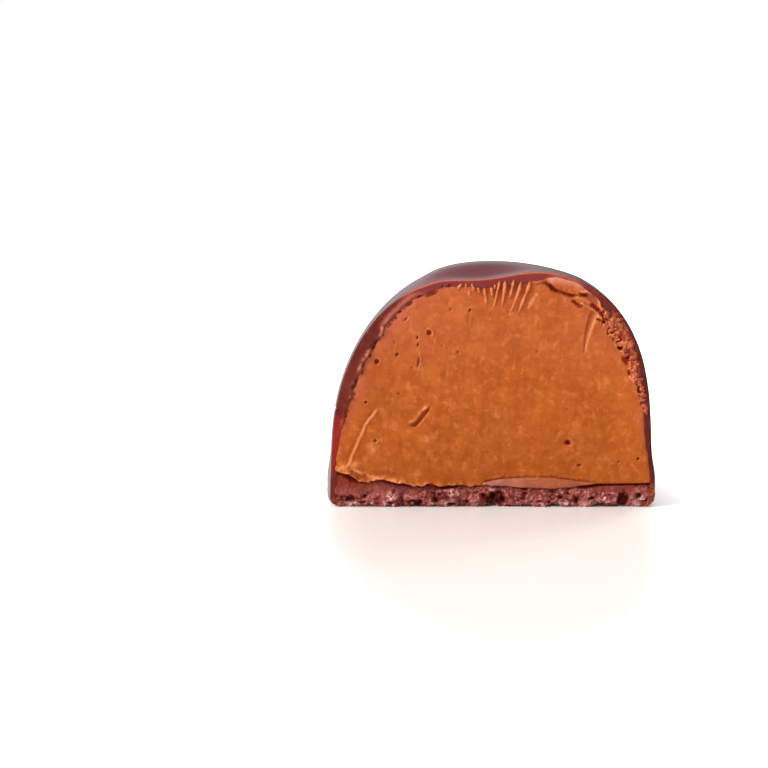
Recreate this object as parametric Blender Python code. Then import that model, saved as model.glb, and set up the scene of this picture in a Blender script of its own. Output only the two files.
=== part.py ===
"""A moulded chocolate praline, sliced open to show its filling.

A thin dome of chocolate is cast in a mould, filled with soft ganache and closed with a thick layer
of poured chocolate, the foot. One slice has been taken off the front, so the cut face shows the
shell, the filling and the foot, which are the three solids here.

Units are metres, +Z is up and the cut faces -Y. The origin is on the dome's axis, at the underside.
"""

import math

import bmesh
import bpy

# The dome: a straight wall that turns over into a full, slightly flattened top.
WALL_RADIUS = 0.0148
HEIGHT = 0.0225
SHOULDER_START = 0.0049
DOME_FULLNESS = 2.34

# The shoulders sit a little to +X of the wall and of the tip, as on a slightly uneven cast.
SHOULDER_SHIFT = 0.00074
SHIFT_START = 0.0055
SHIFT_FULL = 0.0208

# The cast chocolate has run up the mould, so the shell is thin at the wall and thicker over the top.
SHELL_AT_WALL = 0.0006
SHELL_AT_TOP = 0.00115
SHELL_FULL_LEVEL = 0.012

# The rim round the bottom, where the poured chocolate has swollen the wall.
RIM_SWELL = 0.0004
RIM_LEVEL = 0.0022
RIM_FADE = 0.002
RIM_EDGE_RADIUS = 0.0009

# The foot closes the dome from below.
FOOT_THICKNESS = 0.00215

# Clear space kept between neighbouring solids.
GAP = 0.0003

# The cut: how far in front of the axis it passes, how much further back it runs at the top, and its twist.
CUT_OFFSET = 0.00305
CUT_LEAN_AT_TOP = 0.0008
CUT_TWIST_AT_TOP = 0.05

# The knife has pressed the top down where it went in: how deep, how wide, and how far back from the cut.
PRESS_DEPTH = 0.0014
PRESS_CENTRE = -0.0012
PRESS_WIDTH = 0.0049
PRESS_LENGTH = 0.0027
PRESS_START = 0.013
PRESS_FULL = 0.02

# How finely the round shapes are divided.
SEGMENTS_ROUND = 72
ROWS_UP_DOME = 15
ROWS_UP_RIM = 4
ROWS_ROUND_EDGE = 4
CUT_COLUMN_STEP = 0.0025
CUT_COLUMNS_EACH_SIDE = 6
SMOOTH_ANGLE = math.radians(35)
WELD_DISTANCE = 0.00001


def clear_scene():
    for old in list(bpy.data.objects):
        bpy.data.objects.remove(old)


def chocolate(name, colour, roughness):
    """A plain, non-metallic material."""
    material = bpy.data.materials.new(name)
    material.use_nodes = True
    shader = material.node_tree.nodes["Principled BSDF"]
    shader.inputs["Base Color"].default_value = (*colour, 1.0)
    shader.inputs["Roughness"].default_value = roughness
    shader.inputs["Metallic"].default_value = 0.0
    return material


def ease(share):
    """0 to 1 with a gentle start and end."""
    share = min(max(share, 0.0), 1.0)
    return share * share * (3.0 - 2.0 * share)


def shoulder_shift(height):
    """How far to +X the dome has moved at this height: most at the shoulders, none at the tip."""
    rising = ease((height - SHIFT_START) / (SHIFT_FULL - SHIFT_START))
    falling = 1.0 - ease((height - SHIFT_FULL) / (HEIGHT - SHIFT_FULL))
    return SHOULDER_SHIFT * rising * falling


def shell_thickness(height):
    """The thickness of the cast shell at this height."""
    share = ease((height - SHOULDER_START) / (SHELL_FULL_LEVEL - SHOULDER_START))
    return SHELL_AT_WALL + (SHELL_AT_TOP - SHELL_AT_WALL) * share


def dome_side(shells, clearance):
    """Points (radius, height) from the tip down to the start of the shoulders.

    They are moved in from the outside by this many shell thicknesses, and by a clearance."""
    power = 2.0 / DOME_FULLNESS
    points = []
    for row in range(ROWS_UP_DOME):
        angle = 0.5 * math.pi * (1.0 - row / ROWS_UP_DOME)
        out = math.cos(angle) ** power
        up = math.sin(angle) ** power
        level = SHOULDER_START + (HEIGHT - SHOULDER_START) * up
        inset = shells * shell_thickness(level) + clearance
        points.append(((WALL_RADIUS - inset) * out, level - inset * up))
    points[0] = (0.0, points[0][1])
    return points


def rim_swell(height):
    """How far the poured chocolate has swollen the wall outwards at this height."""
    above = max(height - RIM_LEVEL, 0.0)
    return RIM_SWELL * math.exp(-((above / RIM_FADE) ** 2))


def outside():
    """Points (radius, height) down the outside, from the tip over the swollen rim to the underside."""
    points = [(across + rim_swell(height), height) for across, height in dome_side(0, 0.0)]
    points[0] = (0.0, HEIGHT)
    for row in range(ROWS_UP_RIM + 1):
        height = SHOULDER_START + (RIM_LEVEL - SHOULDER_START) * row / ROWS_UP_RIM
        points.append((WALL_RADIUS + rim_swell(height), height))
    for row in range(ROWS_ROUND_EDGE + 1):
        angle = 0.5 * math.pi * row / ROWS_ROUND_EDGE
        across = WALL_RADIUS + RIM_SWELL - RIM_EDGE_RADIUS * (1.0 - math.cos(angle))
        points.append((across, RIM_EDGE_RADIUS * (1.0 - math.sin(angle))))
    return points


def cut_shift(across, height):
    """How much further back than its offset the twisted cut runs at a place."""
    return max(height, 0.0) / HEIGHT * (CUT_LEAN_AT_TOP + CUT_TWIST_AT_TOP * across)


def pressed_down(across, behind, height):
    """How far the knife has pressed a place down, from its distance behind the cut."""
    sideways = (across - PRESS_CENTRE) / PRESS_WIDTH
    backwards = behind / PRESS_LENGTH
    share = ease((height - PRESS_START) / (PRESS_FULL - PRESS_START))
    return PRESS_DEPTH * share * math.exp(-(sideways**2) - backwards**2)


def everything_in(shape):
    return shape.verts[:] + shape.edges[:] + shape.faces[:]


def in_cut(point):
    """Whether a point lies in the flat cut, while the twist is undone."""
    return abs(point.co.y + CUT_OFFSET) < WELD_DISTANCE


def split_cut_face(shape, place, direction):
    """Splits the flat cut face, and nothing else, along one plane."""
    cut_faces = [face for face in shape.faces if all(in_cut(point) for point in face.verts)]
    cut_edges = list(dict.fromkeys(edge for face in cut_faces for edge in face.edges))
    cut_points = list(dict.fromkeys(point for face in cut_faces for point in face.verts))
    bmesh.ops.bisect_plane(
        shape,
        geom=cut_faces + cut_edges + cut_points,
        dist=WELD_DISTANCE,
        plane_co=place,
        plane_no=direction,
    )


def slice_front(shape, levels):
    """Takes the front slice off: the cut's twist is undone, a flat knife passes, and the twist is put back.

    The cut face is split along the profile's own levels and into columns, so that it follows every bend."""
    for point in shape.verts:
        point.co.y -= cut_shift(point.co.x, point.co.z)
    bmesh.ops.bisect_plane(
        shape,
        geom=everything_in(shape),
        dist=WELD_DISTANCE,
        plane_co=(0.0, -CUT_OFFSET, 0.0),
        plane_no=(0.0, -1.0, 0.0),
        clear_outer=True,
    )
    open_edges = [edge for edge in shape.edges if edge.is_boundary]
    bmesh.ops.holes_fill(shape, edges=open_edges)
    for level in levels:
        split_cut_face(shape, (0.0, 0.0, level), (0.0, 0.0, 1.0))
    for column in range(-CUT_COLUMNS_EACH_SIDE, CUT_COLUMNS_EACH_SIDE + 1):
        split_cut_face(shape, (column * CUT_COLUMN_STEP, 0.0, 0.0), (1.0, 0.0, 0.0))
    for point in shape.verts:
        across, height = point.co.x, point.co.z
        behind = point.co.y + CUT_OFFSET
        point.co.y += cut_shift(across, height)
        point.co.z -= pressed_down(across, behind, height)


def turned(name, profile, material):
    """Spins a profile about +Z, from one point on the axis to another, and slices it."""
    shape = bmesh.new()
    points = [shape.verts.new((across, 0.0, height)) for across, height in profile]
    edges = [shape.edges.new(pair) for pair in zip(points, points[1:])]
    bmesh.ops.spin(
        shape,
        geom=points + edges,
        cent=(0.0, 0.0, 0.0),
        axis=(0.0, 0.0, 1.0),
        angle=2.0 * math.pi,
        steps=SEGMENTS_ROUND,
        use_merge=True,
    )
    bmesh.ops.remove_doubles(shape, verts=shape.verts, dist=WELD_DISTANCE)
    for point in shape.verts:
        point.co.x += shoulder_shift(point.co.z)
    slice_front(shape, sorted({height for across, height in profile}))
    bmesh.ops.recalc_face_normals(shape, faces=shape.faces)
    mesh = bpy.data.meshes.new(name)
    shape.to_mesh(mesh)
    shape.free()
    mesh.materials.append(material)
    mesh.shade_smooth()
    mesh.set_sharp_from_angle(angle=SMOOTH_ANGLE)
    solid = bpy.data.objects.new(name, mesh)
    bpy.context.scene.collection.objects.link(solid)


def make_shell():
    """The cast dome, open below: outside from the tip to the underside, then back up the inside."""
    inner_radius = WALL_RADIUS - SHELL_AT_WALL
    inside = [(inner_radius, 0.0), (inner_radius, RIM_LEVEL)] + dome_side(1, 0.0)[::-1]
    material = chocolate("shell_chocolate", (0.165, 0.028, 0.017), 0.25)
    turned("shell", outside() + inside, material)


def make_filling():
    """The ganache fills the dome down to the top of the foot."""
    radius = WALL_RADIUS - SHELL_AT_WALL - GAP
    floor = FOOT_THICKNESS + GAP
    underside = [(radius, floor), (0.0, floor)]
    material = chocolate("ganache", (0.527, 0.119, 0.026), 0.55)
    turned("filling", dome_side(1, GAP) + underside, material)


def make_foot():
    """The layer of chocolate poured over the filling, scraped level with the rim of the shell."""
    radius = WALL_RADIUS - SHELL_AT_WALL - GAP
    profile = [(0.0, FOOT_THICKNESS), (radius, FOOT_THICKNESS), (radius, 0.0), (0.0, 0.0)]
    material = chocolate("foot_chocolate", (0.231, 0.055, 0.038), 0.6)
    turned("foot", profile, material)


clear_scene()
make_shell()
make_filling()
make_foot()
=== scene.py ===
"""A sliced chocolate praline: its cast shell, its ganache filling and its poured chocolate foot.

Lengths are in millimetres until a mesh is made. +Z is up and the cut face looks along -Y.
"""

import math

import bmesh
import bpy
import numpy as np
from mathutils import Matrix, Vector


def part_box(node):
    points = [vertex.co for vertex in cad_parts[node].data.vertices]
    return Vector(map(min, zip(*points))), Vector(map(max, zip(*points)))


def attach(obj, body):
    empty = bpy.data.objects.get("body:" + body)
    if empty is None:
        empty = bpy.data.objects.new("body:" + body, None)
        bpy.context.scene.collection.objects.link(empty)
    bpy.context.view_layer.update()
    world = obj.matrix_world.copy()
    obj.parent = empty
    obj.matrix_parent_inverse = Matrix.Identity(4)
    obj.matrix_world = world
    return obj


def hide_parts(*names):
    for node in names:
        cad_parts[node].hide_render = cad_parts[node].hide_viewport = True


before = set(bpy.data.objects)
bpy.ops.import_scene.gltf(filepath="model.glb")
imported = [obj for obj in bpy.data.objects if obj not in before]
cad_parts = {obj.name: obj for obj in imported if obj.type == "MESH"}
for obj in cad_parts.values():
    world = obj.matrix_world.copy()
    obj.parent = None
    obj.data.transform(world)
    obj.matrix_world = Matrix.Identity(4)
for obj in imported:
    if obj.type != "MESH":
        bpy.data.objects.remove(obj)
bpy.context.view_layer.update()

# ---------------------------------------------------------------------------------------------
# SHELL. A thin dome of tempered milk chocolate, cast in a polished mould, so its outside is glossy.
# The knife has taken the front off: the cut edge is a smooth red-brown band, crumbled on the right.
# The rim at the bottom is swollen and scraped, where the foot was poured in and struck off level.
# ---------------------------------------------------------------------------------------------
MILLIMETRE = 0.001
shell_low, shell_high = [np.array(corner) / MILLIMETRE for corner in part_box("shell")]
RIM_SWELL = 0.4
RIM_LEVEL = 2.2
RIM_FADE = 2.0
RIM_EDGE_RADIUS = 0.9
RIM_RADIUS = (shell_high[0] - shell_low[0]) / 2
WALL_RADIUS = RIM_RADIUS - RIM_SWELL
CUT_OFFSET = -shell_low[1]
SUNK_TIP = 0.175
HEIGHT = shell_high[2] + SUNK_TIP
SHOULDER_START = 4.9
DOME_FULLNESS = 2.34
SHOULDER_SHIFT = 0.74
SHIFT_START = 5.5
SHIFT_FULL = 20.8
SHELL_AT_WALL = 0.6
SHELL_AT_TOP = 1.15
SHELL_FULL_LEVEL = 12.0
CUT_LEAN_AT_TOP = 0.8
CUT_TWIST_AT_TOP = 0.05
PRESS_DEPTH = 1.4
PRESS_CENTRE = -1.2
PRESS_WIDTH = 4.9
PRESS_LENGTH = 2.7
PRESS_START = 13.0
PRESS_FULL = 20.0
CRUMBLY_BELOW = 2.3


def ease(share):
    """0 to 1 with a gentle start and end."""
    share = np.clip(share, 0.0, 1.0)
    return share * share * (3.0 - 2.0 * share)


def between(value, low, high):
    """How far a value has come from low to high, eased."""
    return ease((value - low) / (high - low))


def hashed(i, j, k, seed):
    """A repeatable random number from -1 to 1 for each whole-numbered place."""
    mixed = (i * 374761393 + j * 668265263 + k * 1103515245 + seed * 974634777) & 0xFFFFFFFF
    mixed = ((mixed ^ (mixed >> 13)) * 1274126177) & 0xFFFFFFFF
    mixed = ((mixed ^ (mixed >> 15)) * 668265263) & 0xFFFFFFFF
    return ((mixed ^ (mixed >> 16)) & 0xFFFF) / 32767.5 - 1.0


def grain(x, y, z, size, seed):
    """Smooth random waves from -1 to 1, whose bumps are about this size."""
    places = [np.asarray(value, float) / size for value in np.broadcast_arrays(x, y, z)]
    whole = [np.floor(value).astype(np.int64) for value in places]
    part = [value - below for value, below in zip(places, whole)]
    part = [share**3 * (share * (share * 6 - 15) + 10) for share in part]
    total = 0.0
    for a in (0, 1):
        for b in (0, 1):
            for c in (0, 1):
                weight = (part[0] if a else 1 - part[0]) * (part[1] if b else 1 - part[1])
                weight = weight * (part[2] if c else 1 - part[2])
                total = total + weight * hashed(whole[0] + a, whole[1] + b, whole[2] + c, seed)
    return total


def layered(x, y, z, size, seed, layers=3):
    """Waves with smaller and smaller waves on top."""
    total = 0.0
    for layer in range(layers):
        total = total + grain(x, y, z, size / 2**layer, seed + 31 * layer) / 2**layer
    return total


def facets(across, up, size, seed):
    """A broken face: small tilted facets. Gives their relief, and how near each place is to a facet's border."""
    across = np.asarray(across, float) / size
    up = np.asarray(up, float) / size
    column = np.floor(across).astype(np.int64)
    row = np.floor(up).astype(np.int64)
    nearest = np.full(across.shape, 9.0)
    second = np.full(across.shape, 9.0)
    relief = np.zeros(across.shape)
    for i in (-1, 0, 1):
        for j in (-1, 0, 1):
            seat_across = column + i + 0.5 + 0.45 * hashed(column + i, row + j, 1, seed)
            seat_up = row + j + 0.5 + 0.45 * hashed(column + i, row + j, 2, seed)
            far = np.hypot(across - seat_across, up - seat_up)
            level = hashed(column + i, row + j, 3, seed)
            lean_across = hashed(column + i, row + j, 4, seed)
            lean_up = hashed(column + i, row + j, 5, seed)
            here = 0.55 * level + lean_across * (across - seat_across) + lean_up * (up - seat_up)
            closer = far < nearest
            second = np.where(closer, nearest, np.minimum(second, far))
            nearest = np.where(closer, far, nearest)
            relief = np.where(closer, here, relief)
    return relief, second - nearest


def shoulder_shift(level):
    return SHOULDER_SHIFT * between(level, SHIFT_START, SHIFT_FULL) * (1 - between(level, SHIFT_FULL, HEIGHT))


def shell_thickness(level):
    return SHELL_AT_WALL + (SHELL_AT_TOP - SHELL_AT_WALL) * between(level, SHOULDER_START, SHELL_FULL_LEVEL)


def cut_depth(x, level):
    """The y of the cut surface."""
    return -CUT_OFFSET + np.maximum(level, 0) / HEIGHT * (CUT_LEAN_AT_TOP + CUT_TWIST_AT_TOP * x)


def pressed_down(x, y, level):
    """How far the knife has pressed a place of the dome down."""
    sideways = (x - PRESS_CENTRE) / PRESS_WIDTH
    backwards = np.maximum(y - cut_depth(x, level), 0) / PRESS_LENGTH
    return PRESS_DEPTH * between(level, PRESS_START, PRESS_FULL) * np.exp(-(sideways**2) - backwards**2)


def dome_radius(level):
    """The outside radius over the whole height, with the swollen rim and its rounded lower edge."""
    up = np.clip((level - SHOULDER_START) / (HEIGHT - SHOULDER_START), 0, 1)
    radius = WALL_RADIUS * (1 - up**DOME_FULLNESS) ** (1 / DOME_FULLNESS)
    radius = radius + RIM_SWELL * np.exp(-((np.maximum(level - RIM_LEVEL, 0) / RIM_FADE) ** 2))
    below = np.clip((RIM_EDGE_RADIUS - level) / RIM_EDGE_RADIUS, 0, 1)
    return radius - RIM_EDGE_RADIUS * (1 - np.sqrt(1 - below**2))


def cut_angles(level, radius):
    """The angles about the dome's axis, right and left, at which a ring of this radius meets the cut."""
    twist = level / HEIGHT * CUT_TWIST_AT_TOP
    reach = cut_depth(shoulder_shift(level), level) / (radius * np.sqrt(1 + twist**2))
    sweep = np.arcsin(np.clip(reach, -1, 1))
    return np.arctan(twist) + sweep, np.arctan(twist) + math.pi - sweep


def evenly(line, count):
    """Where to place this many points along a line of points so that they are evenly spaced, in shares."""
    steps = np.linalg.norm(np.diff(line, axis=0), axis=1)
    along = np.concatenate([[0], np.cumsum(steps)])
    return np.interp(np.linspace(0, along[-1], count), along, np.arange(len(line)))


def picked(values, places):
    return np.interp(places, np.arange(len(values)), values)


# The rings of the outside, from the underside up to where the cut's outline closes at the top.
OUTLINE_ROWS = 300
profile_angle = np.linspace(0, 0.5 * math.pi, 4000)
fine_level = np.concatenate(
    [
        RIM_EDGE_RADIUS * (1 - np.cos(np.linspace(0, 0.5 * math.pi, 60)))[:-1],
        np.linspace(RIM_EDGE_RADIUS, SHOULDER_START, 200)[:-1],
        SHOULDER_START + (HEIGHT - SHOULDER_START) * np.sin(profile_angle) ** (2 / DOME_FULLNESS),
    ]
)
fine_radius = dome_radius(fine_level)
reaches_cut = fine_radius > -cut_depth(shoulder_shift(fine_level), fine_level)
rings_cut = int(np.argmin(reaches_cut))
outline_right, outline_left = cut_angles(fine_level, fine_radius)
fine_x = shoulder_shift(fine_level) + fine_radius * np.cos(outline_left)
fine_places = evenly(np.stack([fine_x, fine_level], 1)[: rings_cut + 1], OUTLINE_ROWS)
ring_level = picked(fine_level, fine_places)
ring_radius = picked(fine_radius, fine_places)
CAP_ROWS = 16
cap_share = np.linspace(1, 0, CAP_ROWS + 1)[1:]
cap_radius = ring_radius[-1] * cap_share
cap_level = np.interp(-cap_radius, -fine_radius[rings_cut - 2 :], fine_level[rings_cut - 2 :])
ring_level = np.concatenate([ring_level, cap_level])
ring_radius = np.concatenate([ring_radius, cap_radius])

# Each ring runs from the cut on the right, round the back, to the cut on the left, closer set near the cut.
RING_COLUMNS = 221
CLUSTERING = 0.8
even_share = np.linspace(0, 1, RING_COLUMNS)
ring_share = even_share - CLUSTERING / (2 * math.pi) * np.sin(2 * math.pi * even_share)
from_angle, to_angle = cut_angles(ring_level, ring_radius)
ring_angle = from_angle[:, None] + (to_angle - from_angle)[:, None] * ring_share
level = ring_level[:, None] + 0 * ring_angle
radius = ring_radius[:, None]
out_x = shoulder_shift(level) + radius * np.cos(ring_angle)
out_y = radius * np.sin(ring_angle)

# The mould leaves the outside nearly true. The rim is scraped and chipped below.
turn_x = np.cos(ring_angle)
turn_y = np.sin(ring_angle)
wave = 0.035 * grain(out_x, out_y, level, 5.0, 11) + 0.010 * grain(out_x, out_y, level, 1.7, 12)
rim_share = 1 - between(level, 0.7, 2.6)
scrape, scrape_border = facets(ring_angle * WALL_RADIUS, level * 1.3 + 3, 0.7, 21)
scraping = 0.05 * layered(out_x, out_y, level, 0.9, 22) + 0.035 * np.minimum(scrape, 0.3)
nick = np.clip(layered(out_x, out_y, level * 0.6, 1.3, 23) - 0.42, 0, 1)
wave = wave + rim_share * (scraping - 0.35 * nick)
CUT_SPREAD = 0.22
near_cut = np.exp(-(((out_y - cut_depth(out_x, level)) / 1.6) ** 2)) * (turn_x < 0)
wave = wave + CUT_SPREAD * near_cut * between(level, 2.5, 5.0) * (1 - between(level, 17, 20))
out_x = out_x + wave * turn_x
out_y = np.maximum(out_y + wave * turn_y, cut_depth(out_x, level))
EDGE_WEAR = 0.05
for edge_column in (0, -1):
    edge_x = out_x[:OUTLINE_ROWS, edge_column]
    out_y[:OUTLINE_ROWS, edge_column] = cut_depth(edge_x, level[:OUTLINE_ROWS, edge_column]) + EDGE_WEAR
bottom_share = 1 - between(level, 0.0, 0.5)
out_z = level - pressed_down(out_x, out_y, level) + bottom_share * 0.06 * (
    1 + layered(out_x, out_y, 0 * level, 0.8, 24)
)
outside = np.stack([out_x, out_y, out_z], 2)

# The outline of the cut: up the left side, over the top and down the right side.
left_edge = outside[:OUTLINE_ROWS, -1]
right_edge = outside[:OUTLINE_ROWS, 0]
outline = np.concatenate([left_edge, right_edge[-2::-1]])
side = np.concatenate([-np.ones(OUTLINE_ROWS), np.ones(OUTLINE_ROWS - 1)])
heading = np.gradient(outline[:, [0, 2]], axis=0)
heading = np.stack([np.convolve(np.pad(part, 6, "edge"), np.ones(13) / 13, "valid") for part in heading.T], 1)
inward = np.stack([heading[:, 1], -heading[:, 0]], 1)
inward = inward / np.linalg.norm(inward, axis=1)[:, None]
along = np.concatenate([[0], np.cumsum(np.linalg.norm(np.diff(outline, axis=0), axis=1))])

# How wide the cut edge of the shell shows, by height up the left side, over the top, and down the right side.
LEFT_WIDTHS = [(0, 0.55), (2.6, 0.55), (3.4, 0.42), (5.5, 0.45), (7, 0.62), (9, 1.1), (13, 1.25), (15, 1.42), (16.8, 1.3), (18.5, 1.05), (20, 0.8)]
TOP_WIDTHS = [(-6.5, 0.8), (-4, 0.62), (-1, 0.85), (2, 0.95), (4, 0.85), (5, 0.62), (6, 0.42), (7.8, 0.42), (9, 0.6)]
RIGHT_WIDTHS = [(0, 0.45), (3, 0.36), (6, 0.42), (8.5, 0.55), (11.2, 0.68), (13.5, 1.0), (15.8, 1.25), (17.2, 1.15), (18.0, 0.98), (18.7, 0.75), (20, 0.62)]


def by_station(value, stations):
    places, sizes = zip(*stations)
    return np.interp(value, places, sizes)


on_top = between(outline[:, 2], 18.8, 20.4)
band_width = np.where(side < 0, by_station(outline[:, 2], LEFT_WIDTHS), by_station(outline[:, 2], RIGHT_WIDTHS))
band_width = band_width * (1 - on_top) + by_station(outline[:, 0], TOP_WIDTHS) * on_top
band_width = band_width + 0.07 * layered(along, 0, 0, 1.1, 31) + 0.02 * grain(along, 3, 0, 0.25, 32)
crumbled = np.where(side > 0, between(outline[:, 2], 8.6, 10.6) * (1 - between(outline[:, 2], 17.2, 18.4)), 0.0)
band_width = np.maximum(band_width + crumbled * 0.16 * layered(along, 7, 0, 0.7, 33), 0.25)
seam = outline[:, [0, 2]] + band_width[:, None] * inward

# The cut face of the shell, from its outer edge to the seam with the filling, then a little way into the seam.
BAND_COLUMNS = 18
band_share = np.linspace(0, 1, BAND_COLUMNS)
band_share = band_share - 0.75 / (2 * math.pi) * np.sin(2 * math.pi * band_share)
band_x = outline[:, None, 0] + (seam - outline[:, [0, 2]])[:, None, 0] * band_share
band_z = outline[:, None, 2] + (seam - outline[:, [0, 2]])[:, None, 1] * band_share
edge_offset = outline[:, 1] - cut_depth(outline[:, 0], outline[:, 2])
from_edge = band_width[:, None] * band_share
to_seam = band_width[:, None] * (1 - band_share)
left_band = (side < 0)[:, None] * between(band_z, 6.5, 8.5) * (1 - between(band_z, 16.8, 17.6))
crumbly_below = np.where(side < 0, 0.9, CRUMBLY_BELOW)[:, None]
smooth_rim = 0.28 * (1 - between(band_z, 14.5, 16.5))
crumb_share = np.maximum(crumbled[:, None] * between(from_edge, 0.1 + smooth_rim, 0.3 + smooth_rim), 1 - between(band_z, crumbly_below - 0.8, crumbly_below + 0.3))


def crumb_relief(x, z):
    """The relief of broken, crumbly chocolate, how much painted shade its cracks and pockets get, and the painted
    glints on its raised facets.
    """
    swirl_x = x + 0.12 * grain(x, 5, z, 0.6, 41)
    swirl_z = z + 0.12 * grain(x, 9, z, 0.6, 42)
    large, large_border = facets(swirl_x, swirl_z * 1.2, 0.75, 43)
    small, small_border = facets(swirl_x, swirl_z, 0.34, 44)
    rough = layered(x, 3, z, 0.7, 47)
    crack = np.exp(-((large_border / 0.12) ** 2)) * between(rough, 0.3, -0.5)
    pocket = np.clip(grain(x, 2, z, 0.75, 45) * 1.5 - 0.50, 0, 1) + 0.6 * np.clip(-rough - 0.55, 0, 1)
    relief = 0.12 * large + 0.07 * small + 0.11 * rough - 0.06 * crack - 0.38 * pocket + 0.02 * grain(x, 0, z, 0.12, 46)
    painted_shade = np.clip(0.30 * crack - 0.35 * np.minimum(large, 0) + 1.1 * pocket, 0, 1)
    glint = np.clip(1.2 * small + 0.8 * large + 0.8 * rough - 0.60, 0, 1) * (1 - painted_shade)
    return relief, painted_shade, glint


# Small torn holes along the seam at the left: across, up, direction along the seam, width, length and depth.
SEAM_HOLES = []
hole_along = 9.0
while hole_along < 27.0:
    turn_of = len(SEAM_HOLES)
    chance = [0.5 + 0.5 * float(hashed(turn_of, part, 0, 54)) for part in range(1, 7)]
    spot = int(np.searchsorted(along, hole_along))
    step_in = (0.20 - 0.34 * chance[0]) * inward[spot]
    hole_width = 0.10 + 0.12 * chance[1] ** 2
    hole_length = hole_width * (1.0 + 2.6 * chance[2] ** 2)
    SEAM_HOLES.append((seam[spot] + step_in, inward[spot], hole_width, hole_length, 0.45 + 0.65 * chance[3]))
    hole_along += hole_length * 1.2 + 0.12 + 0.95 * chance[4] ** 2


def seam_holes(x, z):
    """How deep the torn holes along the left seam go at a place, from 0 to 1."""
    deepest = np.zeros(x.shape)
    bent_x = x + 0.07 * grain(x, 0, z, 0.22, 55)
    bent_z = z + 0.07 * grain(x, 5, z, 0.22, 56)
    for middle, across_seam, hole_width, hole_length, deep in SEAM_HOLES:
        dx = bent_x - middle[0]
        dz = bent_z - middle[1]
        reach = ((dx * across_seam[0] + dz * across_seam[1]) / hole_width) ** 2
        reach = reach + ((dz * across_seam[0] - dx * across_seam[1]) / hole_length) ** 2
        deepest = np.maximum(deepest, deep * np.clip(1.25 - reach, 0, 1))
    return np.clip(deepest, 0, 1)


crumb_height, crumb_shade, crumb_glint = crumb_relief(band_x, band_z)
lumps = np.clip(1 + 1.9 * layered(band_x, 1, band_z, 0.36, 51), 0, 2.2)
broken_ridge = between(grain(along, 0, 5, 1.3, 57), -0.9, 0.0)[:, None]
lip = left_band * broken_ridge * 0.14 * np.exp(-(((to_seam - 0.20) / 0.17) ** 2)) * lumps
sheen = 0.02 * grain(band_x, 0, band_z, 1.6, 52) + 0.006 * grain(band_x, 0, band_z, 0.3, 53)
seam_round = -0.012 * np.exp(-((to_seam / 0.06) ** 2))
crumb_fade = np.minimum(from_edge / 0.12, 1)
band_relief = (sheen + lip) * crumb_fade + seam_round
band_relief = band_relief + crumb_share * crumb_fade * (crumb_height * 0.8 + 0.02)
band_holes = seam_holes(band_x, band_z)
band_relief = band_relief - 0.16 * band_holes
band_y = cut_depth(band_x, band_z) + edge_offset[:, None] * np.clip(1 - from_edge / 0.10, 0, 1) ** 2
band_y = band_y - band_relief
band_y[:, 0] = outline[:, 1]
band = np.stack([band_x, band_y, band_z], 2)
SEAM_DEPTH = 0.45
into_seam = band[:, -1:] + np.array([0.0, SEAM_DEPTH, 0.0])
band = np.concatenate([band, into_seam], 1)

# The inside of the shell, hidden by the filling, from the bottom of the seam round the back.
INSIDE_COLUMNS = 33
inside_share = np.linspace(0, 1, INSIDE_COLUMNS)
inner_scale = (WALL_RADIUS - shell_thickness(ring_level)) / WALL_RADIUS
inner_radius = np.minimum(ring_radius, WALL_RADIUS) * inner_scale
inner_level = np.where(
    ring_level > SHOULDER_START,
    ring_level - shell_thickness(ring_level) * (ring_level - SHOULDER_START) / (HEIGHT - SHOULDER_START),
    ring_level,
)
inner_angle = from_angle[:, None] + (to_angle - from_angle)[:, None] * inside_share
in_x = shoulder_shift(inner_level)[:, None] + inner_radius[:, None] * np.cos(inner_angle)
in_y = inner_radius[:, None] * np.sin(inner_angle)
in_z = inner_level[:, None] - pressed_down(in_x, in_y, inner_level[:, None])
inside = np.stack([in_x, in_y, in_z], 2)
seam_left = into_seam[:OUTLINE_ROWS, 0]
seam_right = into_seam[: OUTLINE_ROWS - 2 : -1, 0]
for column in range(6):
    hold = 1 - column / 6
    gap_right = seam_right - inside[:OUTLINE_ROWS, 0] if column == 0 else gap_right
    gap_left = seam_left - inside[:OUTLINE_ROWS, -1] if column == 0 else gap_left
    inside[:OUTLINE_ROWS, column] += hold * gap_right
    inside[:OUTLINE_ROWS, -1 - column] += hold * gap_left
inside[0, 1:-1, 2] = outside[0, 0, 2]

# The underside joins the outside to the inside.
under_outer = outside[0]
under_inner = np.stack([np.interp(ring_share, inside_share, inside[0, :, axis]) for axis in range(3)], 1)
underside = np.stack([under_outer, under_inner], 0)


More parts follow.
